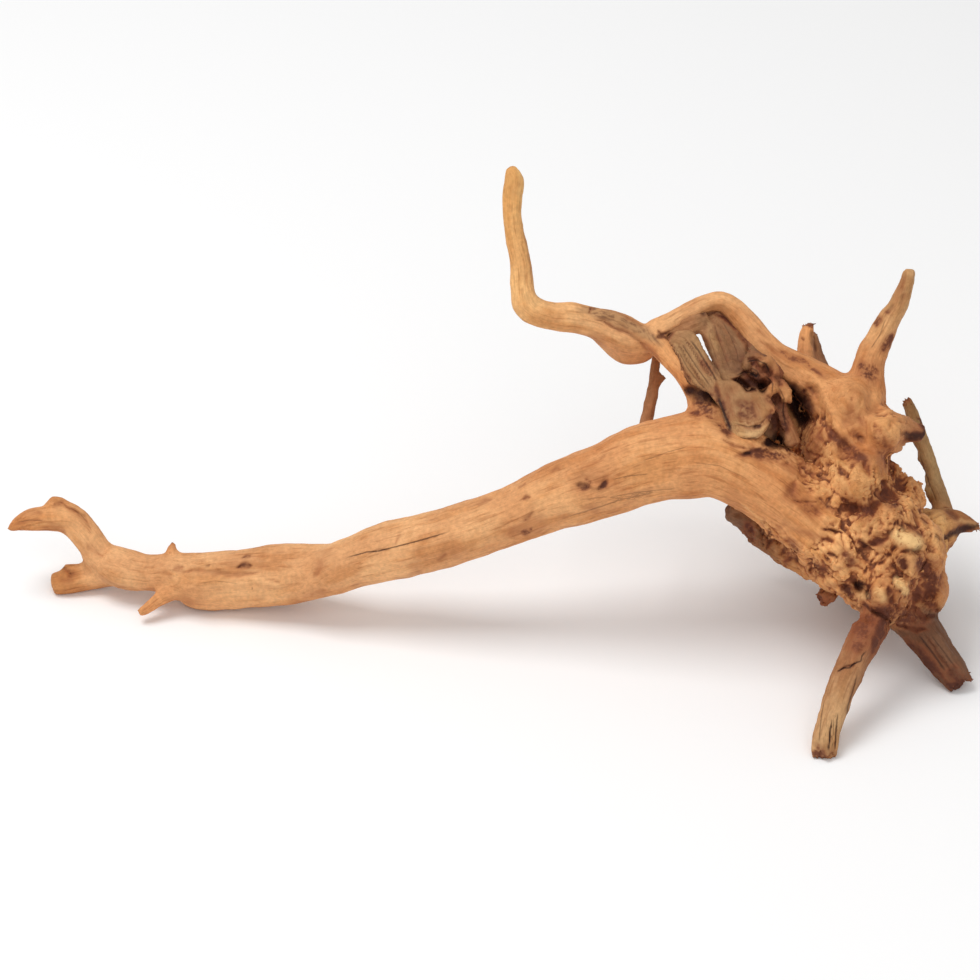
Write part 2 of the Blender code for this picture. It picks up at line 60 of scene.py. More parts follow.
BODY = "root"
SKIN = "driftwood_skin"
HEART_SKIN = "heart_skin"
STORED = (  # what the materials read from the points
    "tint", "grain_0", "grain_1", "grain_2", "grain_shares", "relief", "stains", "pale", "cracks", "broken",
    "crumbly",
)

# The leaning plane and the ground
MM = 0.001
LEAN = math.radians(35)
GROUND_DROP = 69.0
ORIGIN_ACROSS = 0.1
ORIGIN_BEHIND = -7.5

# The viewer
VIEW_DISTANCE = 1506.75
FRAME_MIDDLE = 490
MM_PER_PIXEL = 0.41
LENS = 135
SENSOR = 36

# The light: each lamp's name, place, size and power
LAMPS = (("key", (-0.65, 0.1, 1.6), 0.9, 15), ("front", (0.2, -1.4, 1.2), 1.5, 7.5))
SKY_STRENGTH = 0.52
WHITE = (1, 1, 1, 1)
FLOOR_COLOUR = (0.96, 0.96, 0.96, 1)
FLOOR_HALF_SIZE = 6
VIEW_RANGE = (0.05, 30)

# The skin
VOXEL = 1.36  # fine enough for the knots, and keeps the burl under 200,000 triangles
HEART_VOXEL = 0.7
STATION_STEP = 2.0
EASED_AWAY = 0.4
SIDES = 20
FLUTES = ((3, 0.035, 1.7, 0.4), (5, 0.02, -2.3, 1.9))
SPLIT_FLUTES = ((4, 0.07, 0.15, 0.9), (3, 0.05, 0.6, 0.4))
END_BULGE = 0.2
LUMP_SIZES = (13.0, 6.0)
LUMP_HEIGHTS = (2.2, 1.3)
LIMB_RELIEF = 0.35
SHELTER_FROM = 50.0  # how far right the wood begins that shades itself
SHELTER_START = 0.6
SHELTER_REACH = 18.0
SHELTER_LEAST_RISE = 0.25  # ways that rise less than this from the wood are left out
SKIN_EASE = (0.5, 3)  # how much of each point's place is eased, and how often
SMALLEST_LENGTH = 20  # faces of the smallest group that can be a length of wood
LARGEST_SCRAP = 400  # faces of the largest group that has no name
BURL_BUMPS = ((8.0, 2.3, 71), (4.2, 1.9, 72), (2.1, 1.1, 73))  # cell, height and seed
SEEN_CELL = 4  # pixels of the frame
SEEN_DEPTH = 5.0
HEART_SEEN_DEPTH = 10.0
TURNED_AWAY = -0.05  # the wood faces away from the viewer below this

# The burl: its middle and half size (across, up), and between which shares of that it fades out
BURL_MIDDLE = (156, -14)
BURL_HALF_SIZE = (30, 46)
BURL_FADE = (0.85, 1.15)
BURL_WARPS = ((11, 60, 5.0), (4.0, 64, 1.0))  # cell, seed and distance
BURL_SWELL = (17, 70, 2.4)  # cell, seed and height
BURL_CREASES = ((2.6, 2.6, 4.5), 77, 1.3)  # cell, seed and height
BURL_HOLES = (6.5, 81, 0.6)  # cell, seed and depth
BACK_ROUGHNESS = 0.65
HOLLOW_FADE = (0.2, 1.6)  # where a pressed hollow starts to fade and ends, in half sizes

# Grain: how far from a limb its grain reaches, and where along the limb its colour changes
GRAIN_STEP = 3.0
GRAIN_REACH = 14
GRAIN_SLACK = 0.6
GRAIN_FADE = 3.0
COLOUR_CHANGE = (0.1, 0.95)
BROKEN_BAND = (2.0, 0.5)  # from and to this far before the end
LIMB_RIDGES = ((34, 3.6, 3, 0.32), (17, 1.7, 11, 0.14))  # length, width, seed and height
HEART_RIDGES = ((22, 1.9, 5, 0.7), (40, 4.5, 6, 0.6))
FRAY = ((1.4, 43, 1.5), (3.5, 44, 2.2))  # cell, seed and height
SPLITS = (16, 1.5, 91)  # length, width and seed

# Marks and cracks
MARK_WOBBLE_CELL = 4.0
MARK_WOBBLE = 1.8  # pixels of the frame
MARK_MARGIN = 5  # half widths
NO_CRACK = (5.0, 0.0, 0.3)  # distance, strength and half width
CRACK_REACH = 4.0
CRACK_MARGIN = 10  # pixels of the frame
CRACK_STEP = 0.02
CRACK_FADE = 0.15
ZONE_EDGE = (0.7, 1.2)
BAND_EDGE = (0.6, 1.3)

# How hollow each point is: rounds of easing and the weight of what they move
HOLLOW_LOOKS = ((5, 1.2), (30, 0.8))
DEEP_LOOK = (140, 0.5)
CRUMBLY = (0.6, 0.95)  # the roughness where crumbs start, and where they are densest
OFF_GROUND = (3.0, 4.5)  # no crumb or splinter stands lower than this over the ground

# Limbs: stations of (across, up, towards the viewer, half width)
TRUNK = [
    (160.5, -40, 4, 14), (147, -25.5, 4, 15.5), (133, -12.5, 5, 15.5), (118.5, -1, 6, 15.5),
    (104, 8, 6, 16), (92, 13.2, 6, 16.8), (81.5, 13.5, 5, 17.3), (70.5, 12, 4, 16.5), (61.5, 10, 3, 16.2),
    (45.5, 4, 0, 14.8), (25, -3, -5, 13.2), (8.5, -10.5, -10, 11.7), (-18.5, -20, -17, 12),
    (-41.5, -26, -24, 12), (-57.5, -30.5, -28, 10.5), (-67.5, -34.5, -30, 10), (-77, -39.5, -32, 7),
    (-84.5, -43, -34, 4),
]
LEFT_STRAND = [
    (-49.5, -29.5, -29, 6.5), (-60.5, -32, -32, 9.5), (-74.5, -34.5, -36, 11.5), (-88.5, -36, -40, 12.5),
    (-110, -37.5, -44, 12), (-122, -38, -45, 12), (-134, -35.5, -46, 8.5), (-144, -35.5, -48, 7.5),
    (-155, -33.5, -50, 8.5), (-163, -30, -51, 7.5),
]
THORN = [
    (-84, -37, -36, 3), (-101, -40.5, -37, 4), (-117, -41, -40, 5.5), (-126.5, -41.5, -41, 5.5),
    (-132, -42.5, -41, 3.5), (-138, -45, -40, 2.8), (-143, -48.8, -39, 2.2), (-147.5, -51.8, -38, 1.5),
]
HORN_SHOULDER = [(160.3, 66, -7, 2.4), (160.9, 69.2, -7, 2.2), (162.3, 71.2, -7, 1.6)]
NIB = [(-133.3, -32, -46, 5), (-134, -27.5, -45.5, 2.6), (-134.3, -24.6, -45, 1.7), (-134, -22.5, -45, 1.3)]
CLAW = [
    (-158, -32.5, -52, 6.5), (-164.5, -29.5, -53, 7), (-168.5, -23.5, -52, 6), (-173, -17.5, -51, 6),
    (-179, -12.5, -49, 5.5), (-186, -11.9, -47, 5.2), (-192, -12.4, -46, 4.8), (-197.5, -13.8, -45, 3.5),
    (-201, -15.5, -44.5, 2), (-203.5, -17, -44, 0.9),
]
CLAW_RIDGE = [
    (-166.5, -18, -50, 1.8), (-173.5, -10.5, -49, 2.5), (-180, -7, -47, 2.7), (-184, -6, -46, 3.5),
    (-186, -7.5, -46, 2.7),
]
TIP_STUB = [
    (-151, -33.5, -54, 5), (-161.5, -35.5, -56, 5), (-170, -37, -57, 5), (-177.5, -38.5, -57, 5),
    (-182, -39.5, -57, 5), (-186, -40.2, -57, 4.2),
]
STUB_SPIKE = [(-167, -34.5, -57, 3), (-172, -33.5, -57, 2.2), (-178, -33, -57, 1.8), (-181.5, -33, -57, 1.2)]
ARCH = [
    (151.5, 20.5, -4, 14), (145, 32, -6, 13), (136, 41, -8, 10.5), (127, 48.5, -9, 7.5),
    (118.5, 54.5, -10, 6), (112.5, 61, -11, 5.5), (106.5, 68.5, -12, 5), (101.5, 74, -13, 4.5),
    (95.5, 78, -13, 4), (88, 76.5, -12, 3.6), (80.5, 73, -10, 3.5), (74, 69, -8, 3.7), (68, 65.5, -6, 4.5),
]
INNER = [
    (66.5, 64, -5, 5), (68, 60.5, -3, 4.5), (72.5, 56, -1, 4), (78, 49.5, 1, 4), (84.5, 41.5, 3, 5),
    (88.5, 33.5, 4, 7.5), (91, 23.5, 4, 11.5),
]
TWIG = [
    (70.5, 62.5, -8, 4.5), (63.5, 62, -9, 6), (57, 62.5, -9, 7), (50, 65.5, -8, 7), (43, 68.5, -6, 6),
    (35, 70.5, -4, 6), (27, 71, -3, 5.5), (20.5, 72.5, -2, 5.5), (15, 76, -1, 5.5), (13.5, 82, 0, 4.7),
    (12.5, 93.5, 1, 4.2), (10, 105.5, 2, 3.8), (9, 114, 3, 3.7), (9.2, 121, 3, 4), (9.8, 126.5, 3, 3.9),
    (9.3, 130, 3, 2.9), (8.6, 132.6, 3, 1.6),
]
LOBE = [
    (67, 60, -12, 3.5), (62.5, 58.5, -13, 6), (57, 59, -14, 7), (51.5, 62, -13, 6), (45.5, 65.5, -11, 4.5),
]
TWIG_RIDGE = [
    (42, 72, -3, 2.5), (47, 71.5, -3, 3), (54, 69, -4, 3.5), (60.5, 65.5, -4, 3.5), (66.5, 62.5, -3, 3.5),
]
HORN = [
    (153, 36, -6, 10.5), (154.9, 43.5, -7, 7.5), (155.6, 50.5, -8, 6.2), (157.6, 57, -8, 5.7),
    (160.6, 63, -8, 5.3), (163.3, 68, -7, 4.8), (164.6, 70.8, -7, 4.5), (166.7, 74, -7, 3.8),
    (168.7, 78.2, -6, 3.4), (170.3, 82.4, -5, 2.9), (171.5, 86.5, -4, 2.5), (172.3, 90.8, -4, 1.7),
]
SIDE_ROOT = [
    (190, -14, -26, 4.6), (188.7, -6, -28, 3.7), (186, 2, -29, 3.3), (184, 9, -30, 3.2),
    (181.7, 17, -31, 3.1), (178.5, 26.5, -32, 2.9), (176.3, 33, -33, 2.8), (174.7, 37.5, -33, 2.3),
]
LEG_FRONT = [
    (162, -41, 8, 10), (158.7, -48, 11, 7.5), (155, -55, 14, 6.8), (150.3, -63, 18, 6.2), (146, -71, 21, 5.9),
    (142.5, -78.5, 24, 5.5), (139.5, -86, 27, 5.5), (136.7, -93.5, 29, 5.2), (134.8, -100.5, 31, 5),
    (134.1, -106.4, 32.4, 4.8),
]
LEG_REAR = [
    (169.5, -41, -6, 11.5), (173, -50, -5, 10), (177, -57, -4, 8.3), (181.7, -64, -3, 7.2),
    (186.3, -70, -2, 6.2), (190, -74.5, -2, 5.7), (193, -79.2, -2, 5),
]
BACK_TWIG = [
    (62.5, 12.5, -13, 4.2), (63, 18.5, -16, 3.2), (64.5, 27.5, -19, 2.6), (66.3, 35.5, -21, 2.3),
    (67.8, 42.5, -22, 2.1), (68.5, 50, -22, 1.8), (69, 57, -21, 1.8),
]
BACK_SPRIG = [(68.5, 43, -22, 1.6), (70.5, 45.2, -21, 1.2), (72.8, 47.3, -20, 1)]
KNUCKLE = [
    (175.5, -22.5, -12, 9.5), (181.5, -19.5, -16, 9.5), (186.5, -16.5, -20, 8.6), (190.5, -14.6, -22, 6.8),
    (194.5, -13.2, -23, 4.6), (199, -14.2, -23, 3.2), (203, -15.8, -23, 1.8),
]
RIGHT_STUB = [
    (156.5, 22, 2, 12.5), (163, 24, 2, 8.5), (169, 25, 1, 5.5), (173, 24, 0, 4), (177.5, 23, -1, 3.5),
]
TWIN_STUB_LEFT = [(134, 43.5, -22, 5), (132, 53.5, -25, 3.6), (131.5, 60.5, -27, 3.2), (132.7, 69, -28, 2.5)]
TWIN_STUB_RIGHT = [(140, 43, -24, 5), (137, 55, -31, 3), (135.5, 62, -33, 2.5), (135, 66, -34, 1.8)]
SMALL_STUB = [(148, -34, -6, 5.5), (144.5, -38.5, -9, 4), (140.5, -42, -11, 3.5), (137, -46, -12, 3)]
SKIRT = [
    (98.5, -8.5, -10, 4), (105.5, -11.5, -12, 5), (113.5, -16.5, -13, 7), (123.5, -21.5, -12, 9.2),
    (135, -26.5, -8, 10), (144.5, -29.5, -4, 10),
]
HEEL = [(160, -24, -26, 17), (165, -33, -42, 14), (168, -38, -54, 11.5), (169, -41, -62, 9)]
BACK_STUB_HIGH = [(150, 6, -30, 12), (146, 14, -44, 8), (143, 20, -52, 6), (141, 25, -59, 4.5)]
BACK_STUB_LOW = [(140, -14, -26, 12), (128, -18, -42, 7), (120, -17, -50, 5), (114, -15, -56, 3.5)]
SKIN_LIMBS = [
    TRUNK, LEFT_STRAND, THORN, NIB, CLAW, CLAW_RIDGE, TIP_STUB, STUB_SPIKE, ARCH, INNER, TWIG, LOBE,
    TWIG_RIDGE, HORN, HORN_SHOULDER, SIDE_ROOT, LEG_FRONT, LEG_REAR, BACK_TWIG, BACK_SPRIG, KNUCKLE,
    RIGHT_STUB, TWIN_STUB_LEFT, TWIN_STUB_RIGHT, SMALL_STUB, SKIRT, HEEL, BACK_STUB_HIGH, BACK_STUB_LOW,
]
SPLIT_LIMBS = [LEG_FRONT, LEG_REAR, SIDE_ROOT, TWIN_STUB_RIGHT, SMALL_STUB, TIP_STUB]
BROKEN_LIMBS = [
    NIB, LEG_FRONT, LEG_REAR, SIDE_ROOT, TWIN_STUB_LEFT, TWIN_STUB_RIGHT, SMALL_STUB, KNUCKLE, HEEL,
    BACK_STUB_HIGH, BACK_STUB_LOW,
]

# The grey wood left between the two strands
WEB_LEFT = [(71, 63, -7, 4), (78, 66.5, -9, 5), (85.5, 69.5, -10, 4.5), (89.5, 71, -11, 3.5)]
WEB_RIGHT = [(91, 71, -12, 3.5), (99, 63, -12, 5.5), (106.5, 54, -9, 6.5), (112, 46, -6, 7), (116, 39, -5, 7)]
BURR = [(104.5, 53.5, 1, 4.5), (109, 51, 2, 5.5), (113, 48, 3, 5.5), (116.5, 44.5, 3, 4.5)]
CREST = [
    (115.5, 45, 4, 2.6), (117.3, 42, 5, 2), (118.3, 37, 5, 1.9), (118.6, 31.5, 6, 2.3),
    (120.8, 25.5, 7, 2.8), (124, 18.5, 7, 3),
]
# Dark wood behind the knot, bark in colour, that fills the gaps beside the block and the crest as painted
# shade
KNOT_BACK = [
    (97, 49, 0, 4.5), (104, 46, 1, 5), (111, 42, 2, 5), (114.5, 34, 2, 5), (113, 25, 2, 5), (112, 19, 2, 4),
]

# Its slabs of split wood: the outline of the face, as (across, up, towards the viewer)
LEAF = [
    (86, 72.5, -12), (88, 75.5, -13), (91.5, 76, -13), (96, 74.5, -13), (100, 72, -13),
    (103.5, 68.5, -11), (105.5, 64, -9), (106.5, 58.5, -7), (106.5, 56, -4), (104.5, 52.5, 0), (103, 48, 5),
    (101, 45, 8), (95.5, 43, 9), (93.2, 48.5, 6), (91.4, 53.5, 0), (88.7, 59.5, -5), (86.7, 66, -8),
]
FAN = [
    (72.5, 62.5, 0), (74.5, 64, -1), (78.5, 65.5, -1), (83, 65.5, -1), (85.4, 62.5, 1), (87, 58.2, 2),
    (89.2, 54.1, 4), (91.6, 50.8, 7), (93.9, 47.2, 9), (94.8, 42.5, 12), (96.5, 36.5, 14), (94.5, 32.5, 15),
    (91.5, 36, 14), (89, 39.5, 12), (84.5, 41.5, 10), (81, 43.5, 8.5), (78, 48.5, 6.5), (76, 54.5, 4),
    (74, 58.5, 2.5),
]
BLOCK = [
    (92, 44, 12), (94.5, 44.5, 12), (99.5, 44.5, 13), (102.5, 42.5, 14), (105, 40, 15), (109, 38.5, 16),
    (113, 38, 16), (115.5, 35.5, 16), (116.5, 33.5, 16), (115.5, 31, 17), (113.5, 27, 18), (111, 23, 18),
    (108.5, 21, 18), (103.5, 20.5, 18), (98.5, 20.5, 18), (96.5, 24.5, 17), (95, 29, 16), (93.5, 34.5, 14),
    (92.5, 40, 12),
]

# The curls of its knot
CURLS = [
    [(103.9, 49.2, 7, 1.5), (106.1, 53.7, 7, 1.5), (109.8, 54.1, 8, 1.5), (112.7, 51.7, 8, 1.5)],
    [(109.8, 51.2, 9, 1.6), (113.9, 52.5, 9, 1.6), (116.3, 48, 9, 1.6), (115.9, 43.9, 9, 1.6)],
    [(105.7, 40.3, 12, 1.9), (109.8, 38.6, 12, 1.9), (114.3, 40.3, 11, 1.9), (116.7, 44.3, 9, 1.7)],
    [(117.5, 43.1, 9, 2), (120, 40.3, 9, 2), (120.8, 35.8, 9, 2)],
]
HEART_LIMBS = [
    (WEB_LEFT, 0.7), (WEB_RIGHT, 0.6), (KNOT_BACK, 0.6), (BURR, 1.0), (CREST, 1.0),
    *((curl, 1.0) for curl in CURLS),
]
HEART_SLABS = [(LEAF, 5), (FAN, 6), (BLOCK, 12)]

# Lines down the slabs, which their grain follows
FAN_LINE = [
    (75.5, 62.5, -1, 3.5), (79.5, 61, 0, 5), (83.3, 56, 3, 5.7), (87.3, 50, 6, 5.7), (91, 44.5, 9, 5.7),
    (95, 39, 12, 5.5),
]
LEAF_LINE = [
    (89, 72, -12, 3), (92, 67, -10, 5), (96, 61.5, -7, 7.2), (99, 56, -3, 8), (100.5, 50.5, 3, 7),
    (101.5, 45.5, 8, 6),
]
BLOCK_LINE = [(96.5, 43.5, 11, 5), (98.5, 38, 12, 7), (102, 32, 12, 9), (104.5, 27, 11, 9), (106, 23, 10, 7)]

# Knobs of the burl: middle (across, up, towards) and half sizes in the same directions
KNOBS = [
    ((146.5, 35, -8), (12.5, 13, 20)), ((160, 23, -2), (10, 11.5, 18)), ((141.5, 18, -12), (14, 16.5, 24)),
    ((149.5, 3.5, -10), (19, 19.5, 30)), ((137, -10.5, -8), (18, 16.5, 27)),
    ((156, -15.5, -8), (21.5, 19.5, 32)), ((169.5, -27, -8), (18.5, 19, 30)),
    ((176, -40, -8), (13, 14, 18)), ((162.5, -41.5, -4), (13.5, 12.5, 24)),
    ((147, -28.5, -4), (15.5, 11, 26)), ((170.5, -5.5, -14), (7, 12, 16)), ((181, -12, -22), (5, 5, 7)),
    ((123, 30, -16), (10, 17, 9)), ((169.5, -20.7, 14), (6.5, 4.5, 7)), ((168, -38.5, 14), (3.7, 3.7, 5)),
    ((159.5, -41, 16), (4, 5.2, 5.5)),
]

# Hollows pressed in from the viewer's side: across, up, half width, half height, depth
HOLLOWS = [
    (125.5, 31, 4.5, 8, 4), (120, 21, 6, 3, 3), (132, 39.5, 3.5, 3.5, 4), (146, -37, 4, 3, 4),
    (137, 22, 2.5, 9, 2.5), (145, 12, 3, 8, 2.5), (175.5, -33, 4.5, 7, 3), (157, -51, 4, 2.5, 3),
    (140, -8, 7, 2, 2.5), (136, -4, 3, 2.5, 2.5), (104, 33, 3, 8, 3),
]

# Forks: a point on the cut, the limb's way through it and how far the cut reaches
FORKS = [
    ((104, 8, 5), (-0.85, 0.53, 0), 27),
    ((-169.5, -22, -52), (-0.5, 0.86, 0), 9),
    ((-173.5, -37.7, -57), (-1, -0.17, 0), 7.5),
    ((122, 51.5, -9.5), (-0.8, 0.6, 0), 11),
    ((71.5, 67.5, -7), (-0.85, -0.5, 0), 7),
    ((62, 61, -9), (-1, 0.05, 0), 13),
    ((84.3, 42, 3), (-0.55, 0.83, 0), 9),
    ((155.5, 47, -7.5), (0.2, 1, 0), 10),
    ((188, -5, -28), (-0.35, 1, 0), 7),
    ((154.5, -54, 13.5), (-0.4, -0.85, 0.35), 12),
    ((178.5, -58.5, -3.7), (0.5, -0.85, 0), 13),
    ((62.5, 22, -17), (0.15, 1, -0.2), 6),
]

# Each length of wood: a station inside it
PIECES = {
    "root_crown": (150, 0, -8),
    "main_branch": (8.5, -10.5, -10),
    "tip_claw": (-179, -12.5, -49),
    "tip_stub": (-177.5, -38.5, -57),
    "arch_branch": (101.5, 74, -13),
    "inner_branch": (76.5, 49, 1),
    "long_twig": (35, 70.5, -4),
    "horn": (164, 69.5, -7),
    "side_root": (181.5, 17, -31),
    "leg_front": (142.5, -78.5, 24),
    "leg_rear": (186, -69.5, -2),
    "back_twig": (67, 42.5, -22),
}

# Grain of each limb: its channel (limbs that meet differ), its ridges and its colours from start to end
Grain = namedtuple("Grain", "stations channel ridges start end")
GRAIN = [
    Grain(TRUNK, 0, 1.0, "orange", "tan"),
    Grain(LEFT_STRAND, 1, 0.9, "tan", "tan"),
    Grain(THORN, 2, 0.8, "tan", "orange"),
    Grain(NIB, 0, 0.6, "tan", "orange"),
    Grain(CLAW, 0, 0.9, "tan", "orange"),
    Grain(TIP_STUB, 2, 1.0, "tan", "streak"),
    Grain(ARCH, 1, 0.8, "orange", "tan"),
    Grain(INNER, 2, 1.0, "orange", "orange"),
    Grain(TWIG, 0, 0.8, "tan", "straw"),
    Grain(HORN, 0, 1.6, "orange", "drab"),
    Grain(SIDE_ROOT, 1, 1.1, "olive", "olive"),
    Grain(LEG_FRONT, 1, 1.8, "red_brown", "drab"),
    Grain(LEG_REAR, 2, 2.2, "bark", "bark"),
    Grain(BACK_TWIG, 1, 1.2, "brown", "brown"),
    Grain(BACK_SPRIG, 2, 1.0, "brown", "brown"),
    Grain(KNUCKLE, 2, 1.4, "straw", "brown"),
    Grain(RIGHT_STUB, 2, 1.0, "orange", "brown"),
    Grain(TWIN_STUB_LEFT, 0, 1.2, "brown", "orange"),
    Grain(TWIN_STUB_RIGHT, 2, 1.6, "bark", "bark"),
    Grain(SMALL_STUB, 2, 1.8, "red_brown", "red_brown"),
    Grain(SKIRT, 1, 1.2, "bark", "burl"),
    Grain(HEEL, 1, 1.4, "brown", "bark"),
    Grain(BACK_STUB_HIGH, 0, 1.4, "brown", "drab"),
    Grain(BACK_STUB_LOW, 2, 1.4, "brown", "drab"),
]
HEART_GRAIN = [
    Grain(WEB_LEFT, 0, 1.2, "brown", "brown"),
    Grain(WEB_RIGHT, 1, 1.2, "bark", "bark"),
    Grain(FAN_LINE, 2, 1.6, "grey", "grey"),
    Grain(LEAF_LINE, 0, 1.2, "grey", "grey"),
    Grain(BLOCK_LINE, 1, 0.8, "grey", "drab"),
    Grain(BURR, 2, 1.0, "bark", "red_brown"),
    Grain(KNOT_BACK, 2, 0.6, "bark", "bark"),
    Grain(CREST, 2, 1.8, "red_brown", "brown"),
]

# Marks on the viewer's side: frame points, half width, depth (negative stands proud) and stains, some of
# which are painted shadow in recesses
Mark = namedtuple("Mark", "points half_width depth dark red grey pale", defaults=(0, 0, 0, 0))
STAIN_AND_SHADE_REACH = {"dark": 1.4, "red": 2.2, "grey": 1.5, "pale": 1.4}  # where each fades out, in half widths
LIMB_MARKS = [
    # the trunk: its widest crack, its knot with a nub, small knots and dirt along the lower edge
    Mark([(370, 552), (379, 550), (388, 549)], 0.6, 0.49, dark=0.17, red=0.3),
    Mark([(574, 488), (592, 478), (612, 480)], 4.2, 0.7, red=0.35),
    Mark([(577, 484), (584, 486), (591, 488)], 1.7, 0.8, dark=0.5, red=1),
    Mark([(596, 489), (602, 486), (608, 480)], 1.5, 0.7, dark=0.45, red=1),
    Mark([(587, 480), (591, 483)], 0.8, 0.5, dark=0.15, red=0.8),
    Mark([(588, 473), (596, 476), (604, 476)], 2, -0.9),
    Mark([(592, 487), (596, 486)], 1.2, -1.1),
    Mark([(476, 505), (483, 502), (492, 499)], 1.1, 0.4, dark=0.07, red=0.6),
    Mark([(521, 500), (527, 497), (531, 498)], 0.9, 0.4, dark=0.1, red=0.7),
    Mark([(520, 487), (524, 484)], 0.6, 0.3, dark=0.07, red=0.5),
    Mark([(524, 521), (531, 515), (534, 512)], 0.8, 0.4, dark=0.14, red=0.8),
    Mark([(520, 533), (529, 532), (532, 528)], 1, 0.5, dark=0.14, red=0.9),
    Mark([(553, 471), (558, 468)], 0.8, 0.4, dark=0.1, red=0.6),
    Mark([(601, 459), (604, 456)], 0.6, 0.3, dark=0.07, red=0.4),
    Mark([(440, 559), (446, 555)], 0.8, 0.4, dark=0.1, red=0.6),
    Mark([(396, 543), (399, 535)], 0.5, 0.2, red=0.4),
    Mark([(354, 585), (358, 584)], 0.6, 0.3, dark=0.1, red=0.4),
    Mark([(332, 547), (326, 556), (321, 564), (314, 578)], 2.4, 0.9, red=0.3),
    Mark([(338, 541), (331, 553), (327, 566), (318, 582)], 2.4, -0.5),
    # the left strand: dark knot, pits and the groove above the thorn's ridge
    Mark([(226, 568), (240, 566), (256, 565), (268, 566)], 2.6, 0.4, red=0.3),
    Mark([(236, 567), (243, 565), (252, 565)], 1.3, 0.84, dark=0.35, red=0.8),
    Mark([(242, 558), (247, 557), (252, 555)], 0.8, 0.42, dark=0.28, red=0.7),
    Mark([(208, 566), (210, 565)], 0.5, 0.56, dark=0.42),
    Mark([(198, 560), (202, 562), (206, 559)], 0.4, 0.3, dark=0.1, red=0.3),
    Mark([(214, 561), (218, 558)], 0.4, 0.3, dark=0.1),
    Mark([(174, 571), (179, 569), (183, 567)], 1.3, 0.7, red=0.5),
    Mark([(277, 553), (284, 552)], 0.5, 0.3, dark=0.1, red=0.4),
    Mark([(252, 589)], 0.4, 0.5, dark=0.28),
    Mark([(270, 581), (280, 583)], 0.4, 0.2, red=0.3),
    Mark([(178, 572), (196, 570), (214, 573), (240, 575), (262, 572)], 1.8, 1, red=0.25),
    Mark([(183, 590), (205, 583), (230, 582), (255, 580), (280, 586)], 2.4, -0.9),
    Mark([(160, 562), (165, 572), (172, 580)], 1.6, 0.6, red=0.15),
    # the claw, the stub and the thorn
    Mark([(62, 503), (72, 510), (84, 518), (92, 530)], 1.1, 0.9, red=0.45),
    Mark([(70, 502), (80, 510), (90, 522)], 1.4, -0.5, pale=0.12),
    Mark([(14, 524), (30, 520), (46, 521)], 0.6, 0.3, red=0.5),
    Mark([(20, 514), (34, 512), (42, 514)], 1.2, 0.2, red=0.4),
    Mark([(56, 505), (61, 503)], 1, 0.42, dark=0.1, red=0.8),
    Mark([(48, 524), (58, 528), (66, 534)], 1.4, 0.2, red=0.5),
    Mark([(86, 545), (96, 553), (104, 556)], 1.4, 0.5, red=0.25),
    Mark([(60, 580), (66, 582), (74, 578)], 1.6, 0.3, red=0.45),
    Mark([(70, 575), (74, 573)], 0.9, 0.42, dark=0.1, red=0.7),
    Mark([(60, 567), (68, 571), (73, 574)], 0.9, 1, red=0.5),
    # the long twig: weathered strip along its top and a darker end
    Mark([(521, 205), (526, 235), (533, 270), (538, 298)], 0.8, 0.5, red=0.55),
    Mark([(511, 170), (514, 184), (515, 198)], 3.4, 0.2, red=0.3),
    Mark([(517, 178), (520, 186)], 0.9, 0.4, red=0.5),
    Mark([(588, 313), (591, 307), (602, 306)], 0.6, 0.6, dark=0.15, red=0.8),
    Mark([(578, 309), (594, 311), (608, 315), (624, 322), (642, 332), (662, 345)], 3.3, -0.6, grey=1),
    Mark([(596, 319), (614, 326), (632, 336), (648, 346)], 0.7, 0.49, dark=0.14, red=0.5),
    Mark([(592, 306), (610, 309), (630, 318), (648, 328)], 0.6, 0.5, dark=0.07, red=0.5),
    Mark([(612, 334), (630, 346), (648, 355)], 3, -0.3, pale=0.15),
    Mark([(656, 338), (662, 335), (670, 331)], 0.9, 0.63, dark=0.42, red=0.8),
    Mark([(658, 330), (663, 335), (668, 340)], 0.8, 0.56, dark=0.28, red=0.8),
    Mark([(640, 342), (652, 352), (660, 360)], 1.3, 0.6, red=0.6),
]
